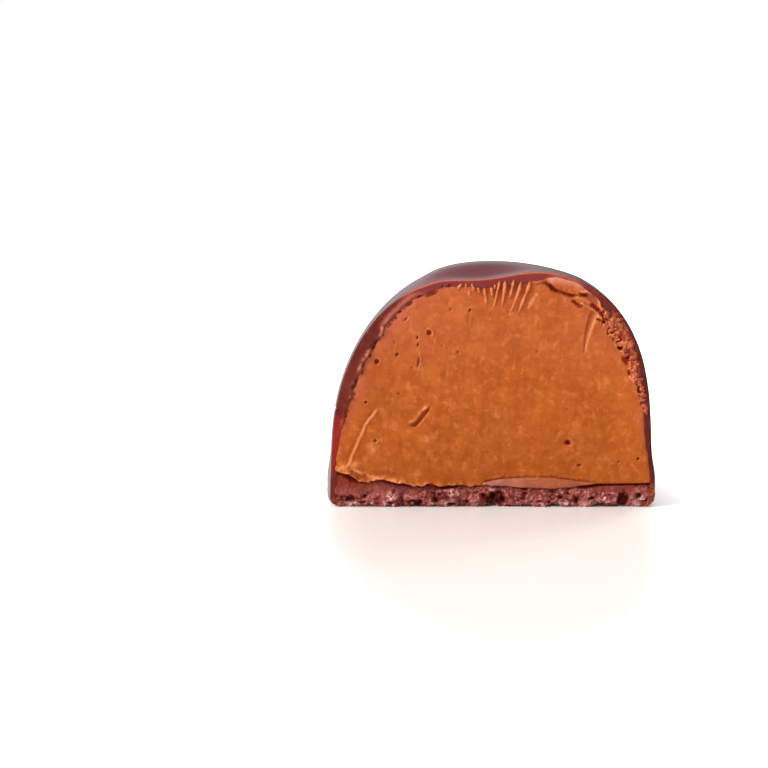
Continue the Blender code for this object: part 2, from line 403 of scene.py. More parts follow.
def add_mesh(name, grids, materials, values):
    """Welds grids of points into one closed, smooth mesh.

    Each grid comes with its own values for the material, and with the number of its material if not the first."""
    points = np.concatenate([grid.reshape(-1, 3) for grid, grid_values in grids])
    corner_lists = []
    look_lists = []
    start = 0
    for grid, grid_values in grids:
        rows, columns = grid.shape[:2]
        index = start + np.arange(rows * columns).reshape(rows, columns)
        quads = [index[:-1, :-1], index[:-1, 1:], index[1:, 1:], index[1:, :-1]]
        corner_lists.append(np.stack([part.ravel() for part in quads], 1))
        look_lists.append(np.full((rows - 1) * (columns - 1), grid_values.get("material", 0)))
        start += rows * columns
    corners = np.concatenate(corner_lists)
    rounded = np.round(points * 5000).astype(np.int64)
    kept, first, where = np.unique(rounded, axis=0, return_index=True, return_inverse=True)
    corners = where.reshape(-1)[corners]
    faces = []
    looks = []
    for face, look in zip(corners.tolist(), np.concatenate(look_lists).tolist()):
        clean = [face[n] for n in range(4) if face[n] != face[n - 1]]
        if len(set(clean)) > 2:
            faces.append(clean)
            looks.append(look)
    mesh = bpy.data.meshes.new(name)
    mesh.from_pydata((points[first] * MILLIMETRE).tolist(), [], faces)
    for value_name in values:
        column = np.concatenate([np.broadcast_to(v.get(value_name, 0.0), g.shape[:2]).ravel() for g, v in grids])
        attribute = mesh.attributes.new(value_name, "FLOAT", "POINT")
        attribute.data.foreach_set("value", column[first].astype(np.float32))
    for material in materials:
        mesh.materials.append(material)
    mesh.polygons.foreach_set("material_index", looks)
    shape = bmesh.new()
    shape.from_mesh(mesh)
    bmesh.ops.recalc_face_normals(shape, faces=shape.faces)
    shape.to_mesh(mesh)
    shape.free()
    mesh.shade_smooth()
    piece = bpy.data.objects.new(name, mesh)
    bpy.context.scene.collection.objects.link(piece)
    return piece


class Nodes:
    """A short way to write a material's nodes."""

    def __init__(self, name):
        self.material = bpy.data.materials.new(name)
        self.material.use_nodes = True
        self.tree = self.material.node_tree
        self.shader = self.tree.nodes["Principled BSDF"]
        self.place = self.add("ShaderNodeTexCoord").outputs["Object"]

    def add(self, kind, **settings):
        node = self.tree.nodes.new(kind)
        for key, value in settings.items():
            setattr(node, key, value)
        return node

    def set(self, socket, value):
        if isinstance(value, bpy.types.NodeSocket):
            self.tree.links.new(value, socket)
        else:
            socket.default_value = value

    def value(self, name):
        return self.add("ShaderNodeAttribute", attribute_name=name).outputs["Fac"]

    def maths(self, operation, *parts, clamp=False):
        node = self.add("ShaderNodeMath", operation=operation, use_clamp=clamp)
        for socket, part in zip(node.inputs, parts):
            self.set(socket, part)
        return node.outputs[0]

    def noise(self, size, detail=2.0, roughness=0.5, stretch=(1, 1, 1), distortion=0.0):
        """Noise from 0 to 1 with features of this size in millimetres."""
        mapping = self.add("ShaderNodeMapping")
        self.set(mapping.inputs["Vector"], self.place)
        mapping.inputs["Scale"].default_value = [1 / (MILLIMETRE * size * part) for part in stretch]
        node = self.add("ShaderNodeTexNoise")
        self.set(node.inputs["Vector"], mapping.outputs[0])
        node.inputs["Scale"].default_value = 1.0
        node.inputs["Detail"].default_value = detail
        node.inputs["Roughness"].default_value = roughness
        node.inputs["Distortion"].default_value = distortion
        return node.outputs["Fac"]

    def spread(self, value, low, high, to_low=0.0, to_high=1.0):
        node = self.add("ShaderNodeMapRange", interpolation_type="SMOOTHSTEP")
        for socket, part in zip(node.inputs, (value, low, high, to_low, to_high)):
            self.set(socket, part)
        return node.outputs[0]

    def mix(self, share, first, second, blend="MIX"):
        node = self.add("ShaderNodeMix", data_type="RGBA", blend_type=blend)
        self.set(node.inputs[0], share)
        self.set(node.inputs[6], colour(first))
        self.set(node.inputs[7], colour(second))
        return node.outputs[2]

    def bump(self, height, strength, distance, normal=None):
        node = self.add("ShaderNodeBump")
        self.set(node.inputs["Height"], height)
        node.inputs["Strength"].default_value = strength
        node.inputs["Distance"].default_value = distance * MILLIMETRE
        if normal is not None:
            self.set(node.inputs["Normal"], normal)
        return node.outputs["Normal"]


def colour(value):
    """A colour given as 8-bit screen values becomes linear light; a socket stays as it is."""
    if isinstance(value, bpy.types.NodeSocket):
        return value
    linear = [(part / 255 / 12.92) if part < 10.3 else ((part / 255 + 0.055) / 1.055) ** 2.4 for part in value]
    return (*linear, 1.0)


shell_look = Nodes("shell_chocolate")
crumb_value = shell_look.value("crumb")
painted_shade_value = shell_look.value("painted_shade")
broad = shell_look.noise(6.0, 2)
medium = shell_look.noise(1.2, 3)
fine = shell_look.noise(0.18, 3)
body_colour = shell_look.mix(shell_look.spread(broad, 0.3, 0.7), (64, 20, 16), (74, 25, 21))
body_colour = shell_look.mix(shell_look.spread(medium, 0.5, 0.8, 0, 0.25), body_colour, (92, 38, 33))
crumb_colour = shell_look.mix(shell_look.spread(fine, 0.3, 0.75), (104, 40, 24), (160, 86, 62))
body_colour = shell_look.mix(shell_look.value("plum"), body_colour, (98, 36, 42))
body_colour = shell_look.mix(crumb_value, body_colour, crumb_colour)
# Painted shade: chips and holes are darkened toward near black, where light can't reach.
body_colour = shell_look.mix(painted_shade_value, body_colour, (50, 10, 5))
shell_look.set(shell_look.shader.inputs["Base Color"], body_colour)
gloss = shell_look.maths("MULTIPLY_ADD", crumb_value, 0.30, 0.13)
gloss = shell_look.maths("ADD", gloss, shell_look.spread(medium, 0.4, 0.7, -0.03, 0.05))
shell_look.set(shell_look.shader.inputs["Roughness"], gloss)
shell_look.shader.inputs["Specular IOR Level"].default_value = 0.85
fine_depth = shell_look.bump(fine, 0.12, 0.02)
shell_look.set(shell_look.shader.inputs["Normal"], shell_look.bump(broad, 0.15, 0.10, fine_depth))

cut_look = Nodes("shell_cut_face")
crumb_value = cut_look.value("crumb")
painted_shade_value = cut_look.value("painted_shade")
broad = cut_look.noise(4.0, 3)
medium = cut_look.noise(0.9, 3)
fine = cut_look.noise(0.18, 3)
cut_colour = cut_look.mix(cut_look.spread(broad, 0.3, 0.7), (94, 24, 14), (110, 35, 24))
cut_colour = cut_look.mix(cut_look.spread(medium, 0.4, 0.75, 0, 0.4), cut_colour, (124, 44, 30))
cut_colour = cut_look.mix(cut_look.value("plum"), cut_colour, (124, 42, 40))
cut_colour = cut_look.mix(cut_look.value("red"), cut_colour, (140, 28, 16))
# Pink painted highlights on the cut band, and the salmon-pink lumps of the left seam ridge, their pink partly a painted
# highlight.
cut_colour = cut_look.mix(cut_look.value("pink_and_highlight"), cut_colour, (200, 110, 86))
crumb_colour = cut_look.mix(cut_look.spread(fine, 0.3, 0.75), (128, 44, 26), (190, 94, 60))
cut_colour = cut_look.mix(crumb_value, cut_colour, crumb_colour)
# Painted shade: crumbly pockets, the torn seam holes, the seam itself and the right wall are darkened.
cut_colour = cut_look.mix(painted_shade_value, cut_colour, (66, 12, 5))
cut_look.set(cut_look.shader.inputs["Base Color"], cut_colour)
cut_look.set(cut_look.shader.inputs["Roughness"], cut_look.spread(medium, 0.35, 0.7, 0.38, 0.52))
cut_look.shader.inputs["Specular IOR Level"].default_value = 0.25
fine_depth = cut_look.bump(fine, 0.3, 0.03)
cut_look.set(cut_look.shader.inputs["Normal"], cut_look.bump(medium, 0.2, 0.05, fine_depth))

# Painted highlights: a light line along the top edge, a gleam on the left shoulder and a streak above the flap; the
# left seam ridge is pink lumps, painted lighter as lit.
edge_highlight = (on_top * (1 - between(outline[:, 0], 5, 9)))[:, None] * np.exp(-(((from_edge - 0.04) / 0.08) ** 2)) * 0.9
seam_ridge = left_band * broken_ridge * 0.46 * np.exp(-(((to_seam - 0.20) / 0.19) ** 2)) * np.clip(lumps, 0.15, 1.5)
shoulder_here = (side < 0)[:, None] * between(band_z, 16.2, 17.2) * (1 - between(band_z, 19.4, 20.0))
shoulder_gleam = 0.55 * shoulder_here * np.exp(-(((to_seam - 0.38) / 0.22) ** 2))
above_flap_highlight = 0.50 * (side > 0)[:, None] * between(band_x, 4.6, 6.0) * (1 - between(band_x, 7.6, 8.8)) * np.exp(-(((to_seam - 0.10) / 0.20) ** 2))
band_pink_and_highlight = np.clip(edge_highlight + np.maximum(seam_ridge, shoulder_gleam) + above_flap_highlight, 0, 1)
band_plum = on_top[:, None] + 0 * band_z
red_wall = (side < 0)[:, None] * (1 - between(band_z + 0.8 * grain(band_x, 2, band_z, 0.9, 58), 7.2, 10.4)) * between(band_z, 2.4, 4.2)
# The right wall below about 14 mm is painted in shade, and a dark patch is painted on the left side about 8.9 mm up.
wall_shade_and_dark_spot = np.maximum(between(outline[:, 0], 8, 11)[:, None] * (1 - between(band_z, 13.5, 15.0)) * 0.42, 0.6 * (side < 0)[:, None] * np.exp(-(((band_z - 8.9) / 0.45) ** 2)))
band_shade = np.maximum(np.maximum(crumb_share * crumb_shade * 0.8, 0.8 * band_holes), wall_shade_and_dark_spot * (1 - crumb_share))
band_values = {
    "material": 1,
    "red": np.concatenate([red_wall, red_wall[:, -1:]], 1),
    "crumb": np.concatenate([crumb_share, crumb_share[:, -1:]], 1),
    "painted_shade": np.concatenate([band_shade, np.full((len(outline), 1), 0.6)], 1),
    "pink_and_highlight": np.concatenate([band_pink_and_highlight, band_pink_and_highlight[:, -1:]], 1),
    "plum": np.concatenate([band_plum, band_plum[:, -1:]], 1),
}
# The top of the dome beside the cut is painted plum: the chocolate's colour, tinted as a painted reflection of the
# white room.
cap_plum_reflection = between(outside[..., 2], 18.6, 20.8) * (1 - between(outside[..., 1], -0.5, 2.5)) * (1 - between(outside[..., 0], 3.0, 6.5))
outside_values = {
    "plum": cap_plum_reflection,
    "crumb": rim_share * 0.45 * np.clip(nick * 4 + 0.4 * (1 - between(scrape_border, 0, 0.2)), 0, 1),
    # The nicks in the scraped rim are darkened as painted shade.
    "painted_shade": rim_share * np.clip(nick * 1.2, 0, 0.6),
}
shell = add_mesh(
    "shell_looks",
    [(band, band_values), (outside, outside_values), (inside, {}), (underside, {})],
    [shell_look.material, cut_look.material],
    ("crumb", "painted_shade", "pink_and_highlight", "plum", "red"),
)
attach(shell, "root")
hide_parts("shell")

# ---------------------------------------------------------------------------------------------
# FILLING. Soft orange-brown ganache, piped into the shell. The knife has dragged down through it,
# so the cut shows faint streaks, torn air holes, a wedge-shaped tear and a thin burr at the left.
# Its lower edge is a ragged lip that hangs a little over the foot.
# ---------------------------------------------------------------------------------------------
LIP_LEVELS = [
    (-14.6, 3.35), (-13.3, 3.1), (-12.5, 2.5), (-11.7, 2.3), (-10.8, 2.45), (-10, 2.54), (-9.2, 2.37), (-8.5, 2.2),
    (-7, 2.0), (-5.8, 2.04), (-4.1, 1.92), (-2.9, 2.0), (-2, 1.97), (-1.1, 2.05), (0.6, 1.95), (2.3, 1.80),
    (5.6, 1.70), (7.3, 1.80), (8.6, 2.0), (10, 2.14), (14.6, 2.20),
]
LEFT_CORNER = 3.35
RIGHT_CORNER = 2.22
FILL_COLUMNS = 331
FILL_ROWS = 237
SEAM_OVERLAP = 0.06

fill_edge = seam - SEAM_OVERLAP * inward
left_half = side < 0
starts = int(np.argmax(fill_edge[:, 1] > LEFT_CORNER))
ends = len(fill_edge) - 1 - int(np.argmax(fill_edge[::-1, 1] > RIGHT_CORNER))
fill_edge = fill_edge[starts : ends + 1]
fill_along = np.concatenate([[0], np.cumsum(np.linalg.norm(np.diff(fill_edge, axis=0), axis=1))])
fill_fine = np.interp(np.linspace(0, fill_along[-1], 4001), fill_along, np.arange(len(fill_edge)))
fill_edge = np.stack([picked(fill_edge[:, axis], fill_fine) for axis in range(2)], 1)
left_shoulder = int(0.30 * 4000)
right_shoulder = int(0.70 * 4000)


def stretch_of(line, first, last, count):
    places = np.linspace(first, last, count)
    return np.stack([picked(line[:, axis], places) for axis in range(2)], 1)


left_side = stretch_of(fill_edge, 0, left_shoulder, FILL_ROWS)
top_side = stretch_of(fill_edge, left_shoulder, right_shoulder, FILL_COLUMNS)
right_side = stretch_of(fill_edge, 4000, right_shoulder, FILL_ROWS)
bottom_x = np.linspace(fill_edge[0, 0], fill_edge[-1, 0], FILL_COLUMNS)
corner_hold = between(bottom_x, bottom_x[0], bottom_x[0] + 0.6) * (1 - between(bottom_x, bottom_x[-1] - 0.6, bottom_x[-1]))
bottom_z = by_station(bottom_x, LIP_LEVELS)
ragged_share = 1 - 0.75 * between(bottom_x, -0.5, 1.5)
bottom_z = bottom_z + corner_hold * ragged_share * (0.11 * layered(bottom_x, 0, 0, 0.8, 61) + 0.07 * grain(bottom_x, 4, 0, 0.3, 62))
bottom_z[0] = fill_edge[0, 1]
bottom_z[-1] = fill_edge[-1, 1]
bottom_side = np.stack([bottom_x, bottom_z], 1)

u = np.linspace(0, 1, FILL_COLUMNS)[None, :, None]
v = np.linspace(0, 1, FILL_ROWS)[:, None, None]
face = (1 - v) * bottom_side[None] + v * top_side[None] + (1 - u) * left_side[:, None] + u * right_side[:, None]
corners = (1 - u) * (1 - v) * bottom_side[0] + u * (1 - v) * bottom_side[-1]
corners = corners + (1 - u) * v * top_side[0] + u * v * top_side[-1]
face = face - corners
face_x = face[..., 0]
face_z = face[..., 1]


def distance_to(x, z, line):
    """Distance from each place to a line of points, and which point is the nearest."""
    flat = np.stack([x.ravel(), z.ravel()], 1)
    nearest = np.empty(len(flat))
    which = np.empty(len(flat), int)
    for start in range(0, len(flat), 20000):
        part = flat[start : start + 20000]
        gap = part[:, None, :] - line[None]
        far = gap[..., 0] ** 2 + gap[..., 1] ** 2
        which[start : start + 20000] = far.argmin(1)
        nearest[start : start + 20000] = np.sqrt(far.min(1))
    return nearest.reshape(x.shape), which.reshape(x.shape)


rim_line = fill_edge[::8]
to_rim, rim_place = distance_to(face_x, face_z, rim_line)
lip_line = bottom_side[::2]
to_lip, lip_place = distance_to(face_x, face_z, lip_line)


def stroke(x, z, start, end):
    """Along and across a straight stroke: the share of its length, and the distance from its middle line."""
    ax, az = start
    bx, bz = end
    length = math.hypot(bx - ax, bz - az)
    dx, dz = (bx - ax) / length, (bz - az) / length
    share = ((x - ax) * dx + (z - az) * dz) / length
    across = -((x - ax) * dz - (z - az) * dx)
    return share, across, length


def bead(share, soft=0.12):
    """1 along a stroke, fading at both ends."""
    return between(share, -soft, soft) * (1 - between(share, 1 - soft, 1 + soft))


relief = 0.09 * grain(face_x, 0, face_z, 6.5, 71) + 0.055 * grain(face_x, 0, face_z * 0.6, 2.2, 72)
relief = relief + 0.034 * grain(face_x, 0, face_z * 0.5, 0.9, 73) + 0.014 * grain(face_x, 4, face_z * 0.7, 0.4, 73)
drag = grain(face_x + 0.08 * face_z, 0, face_z * 0.12, 0.34, 74)
patchy = between(grain(face_x, 8, face_z, 3.0, 75), -0.3, 0.6)
relief = relief + 0.018 * drag * patchy
arcs = grain(face_x, 2, face_z * 1.3, 0.8, 76)
scuffed = between(grain(face_x, 3, face_z, 2.4, 77), -0.15, 0.45)
scuff = np.exp(-((arcs / 0.24) ** 2)) * scuffed * between(grain(face_x, 9, face_z, 0.7, 70), -0.05, 0.6)
relief = relief + 0.030 * scuff
# The ganache's painted shade and painted highlights are gathered below; the scuffs are painted a little lighter as a
# highlight.
painted_shade = np.zeros(face_x.shape)
painted_highlight = 0.09 * scuff

# Torn air holes: across, up, width, height, lean in degrees, depth, and the rim pushed up at the right.
HOLES = [
    (-10.6, 13.45, 0.50, 0.52, 0, 0.34, 0.05),
    (-2.1, 18.15, 0.26, 0.36, -10, 0.22, 0.02),
    (-3.85, 18.2, 0.28, 0.30, 0, 0.12, 0.02),
    (-5.8, 16.1, 0.46, 0.60, -30, 0.30, 0.10),
    (-6.9, 15.65, 0.26, 0.42, 0, 0.26, 0.04),
    (-6.85, 15.0, 0.26, 0.36, 10, 0.22, 0.05),
    (-8.75, 14.1, 0.36, 0.40, 15, 0.24, 0.04),
    (-8.95, 15.2, 0.20, 0.50, -10, 0.10, 0.03),
    (-6.8, 13.4, 0.30, 1.05, 4, 0.20, 0.08),
    (-7.95, 17.35, 0.28, 0.55, 35, 0.15, 0.06),
    (-3.2, 14.3, 0.22, 0.28, 0, 0.16, 0.01),
    (-11.6, 9.7, 0.26, 0.26, 0, 0.28, 0.02),
    (-10.75, 6.15, 0.34, 0.30, 0, 0.22, 0.10),
    (6.95, 5.95, 0.60, 0.46, 15, 0.42, 0.06),
    (8.0, 3.85, 0.55, 0.32, 0, 0.20, 0.02),
    (13.4, 4.45, 0.34, 0.30, 0, 0.26, 0.06),
    (11.6, 4.15, 0.26, 0.26, 0, 0.14, 0.02),
    (4.05, 14.3, 0.22, 0.25, 0, 0.12, 0.01),
    (-7.4, 12.9, 0.20, 0.20, 0, 0.10, 0.0),
    (6.9, 9.0, 0.30, 0.24, 0, 0.08, 0.0),
    (-8.6, 10.5, 0.30, 0.22, 30, 0.10, 0.05),
    (-4.6, 14.9, 0.18, 0.26, 0, 0.10, 0.0),
]
# Each hole is painted dark inside as painted shade, and its pushed-up rim painted lighter as a painted highlight.
for hole_x, hole_z, wide, tall, lean, deep, rim in HOLES:
    angle = math.radians(lean)
    dx = face_x - hole_x
    dz = face_z - hole_z
    side_way = (dx * math.cos(angle) - dz * math.sin(angle)) / (wide / 2)
    up_way = (dx * math.sin(angle) + dz * math.cos(angle)) / (tall / 2)
    uneven = 1 + 0.25 * grain(face_x, 1, face_z, 0.3, 78)
    reach = np.hypot(side_way, up_way) * uneven
    pit = np.clip(1 - reach**3, 0, 1)
    relief = relief - deep * pit
    painted_shade = np.maximum(painted_shade, np.clip(pit * deep * 2.2, 0, 1))
    rim_here = np.exp(-(((reach - 1.35) / 0.3) ** 2)) * between(side_way, -0.2, 0.8)
    relief = relief + rim * rim_here
    painted_highlight = painted_highlight + 4 * rim * rim_here

# Low blobs of ganache and small scraps, painted lighter the prouder they stand, as a painted highlight: across, up,
# width, height, how proud.
BLOBS = [
    (-10.9, 5.4, 0.8, 1.0, 0.10), (-6.1, 6.25, 1.1, 0.6, 0.10), (0.55, 8.3, 0.45, 0.4, 0.06),
    (-9.3, 10.0, 0.9, 0.2, 0.05), (9.85, 6.5, 0.6, 0.35, 0.06), (9.9, 4.5, 0.5, 0.3, 0.05),
    (11.0, 4.0, 0.7, 0.22, 0.05), (7.95, 4.9, 0.45, 0.3, 0.08), (-10.2, 6.2, 0.4, 0.4, 0.07),
    (5.25, 17.75, 0.4, 0.4, 0.05), (2.45, 15.75, 0.5, 0.3, 0.06), (-12.5, 3.95, 0.8, 0.5, 0.08),
    (-7.0, 3.0, 1.2, 0.3, 0.04), (3.2, 12.6, 0.3, 0.5, 0.03),
]
for blob_x, blob_z, wide, tall, proud in BLOBS:
    reach = np.hypot((face_x - blob_x) / (wide / 2), (face_z - blob_z) / (tall / 2))
    mound = np.exp(-(reach**2)) * (1 + 0.4 * grain(face_x, 6, face_z, 0.35, 79))
    relief = relief + proud * mound
    painted_highlight = painted_highlight + 3.5 * proud * mound

# The diagonal gouge, with a burr along its right side. Its left wall is painted dark as painted shade, and the burr
# lighter as a painted highlight.
wander = 0.10 * grain(face_x, 7, face_z, 0.7, 80)
share, across, length = stroke(face_x + wander, face_z - wander, (-7.35, 7.5), (-5.72, 9.05))
gouge_width = 0.09 + 0.20 * np.clip(1 - np.abs(share - 0.40) / 0.6, 0, 1) * (1 + 0.5 * grain(face_x, 7, face_z, 0.4, 80))
gouge = bead(share) * np.exp(-np.abs(across / gouge_width) ** 2.6)
relief = relief - 0.32 * gouge
painted_shade = np.maximum(painted_shade, 0.62 * gouge * between(-across, -0.30, 0.12))
burr = bead(share) * np.exp(-(((across - 0.30) / 0.13) ** 2)) * np.clip(1 + grain(face_x, 3, face_z, 0.4, 80), 0, 2)
relief = relief + 0.08 * burr
painted_highlight = painted_highlight + 0.45 * burr

# The wedge-shaped tear under the curl at the upper right: steep at the left, a long slope at the right. The steep side
# is painted dark as painted shade and the slope lighter as a painted highlight, as if lit from the left.
WEDGE_STEEP = [(9.05, 18.0), (8.78, 17.3), (8.53, 16.2), (8.40, 15.3), (8.32, 14.1)]
wedge_x, wedge_z = np.array(WEDGE_STEEP)[::-1].T
wedge_start = np.interp(face_z, wedge_z, wedge_x)
wedge_width = np.interp(face_z, [14.1, 15.0, 16.0, 17.0, 17.9], [0.18, 0.34, 0.54, 0.74, 0.92])
fall = (face_x - wedge_start) / wedge_width
wedge_fade = between(face_z, 13.9, 14.6) * (1 - between(face_z, 17.7, 18.1))
wedge = np.clip(np.where(fall < 0.2, (fall + 0.1) / 0.3, (1.05 - fall) / 0.85), 0, 1) * wedge_fade
relief = relief - (0.10 + 0.26 * between(face_z, 14, 17.5)) * wedge
painted_shade = np.maximum(painted_shade, 0.48 * np.exp(-(((fall - 0.05) / 0.14) ** 2)) * wedge_fade)
painted_highlight = painted_highlight + 0.34 * between(fall, 0.16, 0.30) * (1 - between(fall, 0.80, 1.1)) * wedge_fade

# The flap torn up at the upper right: it stands proud above a ragged crack. Its top is painted lighter and pinker as a
# painted highlight.
FLAP_CRACK = [(4.7, 20.64), (5.2, 20.45), (5.53, 20.1), (5.9, 19.9), (6.4, 19.76), (6.9, 19.55), (7.55, 19.40), (8.6, 19.6)]
flap_x, flap_z = np.array(FLAP_CRACK).T
above_crack = face_z - np.interp(face_x, flap_x, flap_z) - 0.05 * grain(face_x, 0, 0, 0.3, 84)
on_flap = between(above_crack, 0.0, 0.10) * between(face_x, 4.6, 5.6) * (1 - between(face_x, 8.9, 9.8))
relief = relief + on_flap * (0.20 + 0.07 * layered(face_x, 2, face_z, 1.1, 87))
lit_flap_top = on_flap * between(face_z + 0.45 * np.maximum(face_x - 7.0, 0), 20.25, 20.95)
painted_highlight = painted_highlight + 0.12 * lit_flap_top

# Cracks and the ridges beside them: a path of places across and up, how wide, and how deep or proud.
CRACKS = [
    (FLAP_CRACK[:7], 0.19, 0.25),
    ([(5.2, 20.36), (5.55, 20.02), (6.0, 19.82)], 0.17, 0.25),
    ([(7.95, 19.66), (8.25, 19.50), (8.6, 19.42)], 0.16, 0.25),
    ([(7.3, 18.97), (7.6, 18.75), (7.87, 18.58), (8.22, 18.38)], 0.15, 0.24),
    ([(9.08, 18.62), (9.22, 18.46), (9.40, 18.34), (9.72, 18.08), (9.92, 17.82), (10.2, 17.6)], 0.16, 0.25),
    ([(10.6, 17.66), (10.85, 17.52)], 0.17, 0.26),
    ([(9.55, 17.3), (10.05, 17.06), (10.4, 16.98)], 0.08, 0.22),
    ([(10.7, 16.3), (10.95, 16.15), (11.2, 16.1)], 0.08, 0.20),
    ([(3.75, 20.45), (4.6, 20.58)], 0.05, 0.10),
    ([(-1.0, 2.20), (-0.4, 2.42), (0.4, 2.58), (1.7, 2.70), (3.1, 2.76), (5.6, 2.72), (7.0, 2.55), (8.1, 2.38), (9.6, 2.26)], 0.09, 0.16),
]
RIDGES = [
    ([(7.6, 19.3), (7.95, 19.2), (8.5, 19.05), (8.95, 18.75)], 0.20, 0.16),
    ([(8.05, 19.78), (8.75, 19.82), (9.28, 19.72), (9.62, 19.38), (9.78, 18.88), (9.84, 18.3), (10.1, 17.9)], 0.13, 0.34),
    ([(8.1, 18.68), (8.6, 18.5), (8.95, 18.3), (9.3, 18.05), (9.7, 17.7)], 0.11, 0.22),
    ([(9.6, 17.55), (10.1, 17.32), (10.38, 17.6), (10.47, 17.98)], 0.12, 0.22),
    ([(11.0, 18.2), (11.15, 17.8), (11.2, 17.3)], 0.18, 0.22),
    ([(5.0, 20.72), (5.5, 20.35), (6.2, 20.0), (6.9, 19.75), (7.5, 19.6)], 0.07, 0.06),
]


def path_line(path, seed, count=80):
    """A path as a line of close points, with its corners rounded and a slight wander."""
    path = np.array(path, float)
    share = np.linspace(0, len(path) - 1, count)
    line = np.stack([picked(path[:, axis], share) for axis in range(2)], 1)
    for _ in range(12):
        line[1:-1] = 0.25 * line[:-2] + 0.5 * line[1:-1] + 0.25 * line[2:]
    line[:, 0] += 0.05 * grain(share * 2, seed, 0, 0.5, 88)
    line[:, 1] += 0.05 * grain(share * 2, seed, 7, 0.5, 89)
    return line


# Cracks are painted dark as painted shade and ridges lighter as painted highlights; the inside of the curl is painted
# in shade too.
for sign, paths in ((-1, CRACKS), (1, RIDGES)):
    for number, (path, wide, tall) in enumerate(paths):
        to_path, place = distance_to(face_x, face_z, path_line(path, number + 20 * sign))
        here_wide = wide * (0.45 + 0.55 * bead(place / 79, 0.15)) * (1 + 0.3 * grain(face_x, number, face_z, 0.25, 90))
        profile = bead(place / 79, 0.06) * np.exp(-np.abs(to_path / here_wide) ** 2.6)
        relief = relief + sign * tall * profile
        if sign < 0:
            painted_shade = np.maximum(painted_shade, np.clip(4.2 * tall * profile, 0, 1))
        else:
            painted_highlight = painted_highlight + 1.6 * tall * profile
            painted_shade = painted_shade * (1 - 0.8 * profile)
curl_inside = np.exp(-(((face_x - 8.75) / 0.55) ** 2) - (((face_z - 19.2) / 0.32) ** 2))
painted_shade = np.maximum(painted_shade, 0.22 * curl_inside)

# Between the strands under the top edge the knife has scraped the ganache out. The scraped grooves are painted dark as
# painted shade.
scraped = between(face_x, -2.2, -0.8) * (1 - between(face_x, 3.0, 4.0)) * between(face_z, 18.6, 20.6)
relief = relief - 0.16 * scraped
painted_shade = np.maximum(painted_shade, 0.72 * scraped * between(face_z, 18.8, 20.2) * (1 - 0.6 * between(face_x, 1.5, 3.5)))

# The thin burr left by the knife at the lower left. Its crest is painted lighter as a painted highlight.
BURR_PATH = [(-10.6, 9.0), (-11.1, 8.3), (-11.65, 7.6), (-12.2, 6.2), (-12.75, 4.9), (-13.25, 3.8)]
burr_line = np.array(BURR_PATH)
burr_line = np.stack([np.interp(np.linspace(0, 5, 120), np.arange(6), burr_line[:, axis]) for axis in range(2)], 1)
burr_line[:, 0] += 0.05 * grain(np.arange(120) / 10.0, 0, 0, 1.0, 81)
to_burr, burr_place = distance_to(face_x, face_z, burr_line)
burr_end = bead(burr_place / 119, 0.06)
burr_height = burr_end * (0.10 + 0.04 * grain(face_x, 0, face_z, 0.5, 82))
relief = relief + burr_height * np.exp(-((to_burr / 0.11) ** 2))
relief = relief - 0.05 * burr_end * np.exp(-(((to_burr - 0.24) / 0.12) ** 2)) * (face_x < np.interp(face_z, burr_line[::-1, 1], burr_line[::-1, 0]))
painted_highlight = painted_highlight + 0.55 * burr_end * np.exp(-((to_burr / 0.10) ** 2))

# Faint creases across, where the knife paused.
for crease_z, from_x, to_x, deep in [(9.95, -9.5, -5.0, 0.020), (11.2, 2.3, 9.0, 0.012), (5.45, 3.3, 9.8, 0.016), (4.5, 5.3, 7.4, 0.05), (4.75, 2.0, 8.0, 0.012), (3.6, 4.2, 8.2, 0.015)]:
    line_z = crease_z + 0.15 * grain(face_x, 0, 0, 1.5, 83) + 0.04 * (face_x - from_x)
    step = np.tanh((face_z - line_z) / 0.10) * np.exp(-(((face_z - line_z) / 0.5) ** 2))
    relief = relief - deep * step * bead((face_x - from_x) / (to_x - from_x), 0.15)

# The knife's drag marks below some holes.
for mark_x, mark_z, long, deep in [(-2.2, 17.4, 1.3, 0.035), (-7.6, 16.9, 0.8, 0.02), (-9.1, 14.9, 1.1, 0.03), (4.2, 16.2, 1.6, 0.02), (-4.3, 12.4, 1.8, 0.02), (-0.8, 15.4, 1.8, 0.015), (1.9, 13.4, 2.2, 0.015), (5.9, 14.8, 1.6, 0.015)]:
    across = face_x - mark_x - 0.12 * (face_z - mark_z)
    shape = np.exp(-((across / 0.12) ** 2)) - 0.8 * np.exp(-(((across - 0.22) / 0.12) ** 2))
    relief = relief - deep * shape * bead((mark_z + long / 2 - face_z) / long, 0.25)

# The edge of the filling runs under the shell's cut edge, with torn holes along the left, and has a fat lip.
# The holes, a strip along the shell at the lower right, the groove above the lip and patches along the fat lip's edge
# are painted dark as painted shade; the lip's lumps and torn edge are painted lighter as painted highlights.
holes_here = seam_holes(face_x, face_z)
seam_gap = 0.015 + 0.045 * between(face_x, 4.0, 8.0)
relief = relief - seam_gap * np.exp(-((to_rim / 0.10) ** 2)) - 0.20 * holes_here
painted_shade = np.maximum(painted_shade, 0.80 * holes_here)
right_wall = (rim_line[:, 0][rim_place] > 5) * (1 - between(face_z, 7.5, 9.5))
painted_shade = np.maximum(painted_shade, right_wall * 0.5 * np.exp(-((to_rim / 0.16) ** 2)))
lip_x = lip_line[:, 0][lip_place]
fat_lip = (1 - between(lip_x, -8.6, -7.6)) * between(lip_x, -14.8, -14.2)
torn_lip = 1 - between(lip_x, -0.8, 0.6)
lip_lumps = np.clip(1 + 1.5 * layered(face_x, 0, face_z, 0.34, 85), 0, 2.4)
relief = relief + 0.15 * fat_lip * np.exp(-(((to_lip - 0.13) / 0.11) ** 2)) * lip_lumps
relief = relief + 0.07 * fat_lip * np.exp(-((to_lip / 0.5) ** 2)) * layered(face_x, 4, face_z, 0.4, 99)
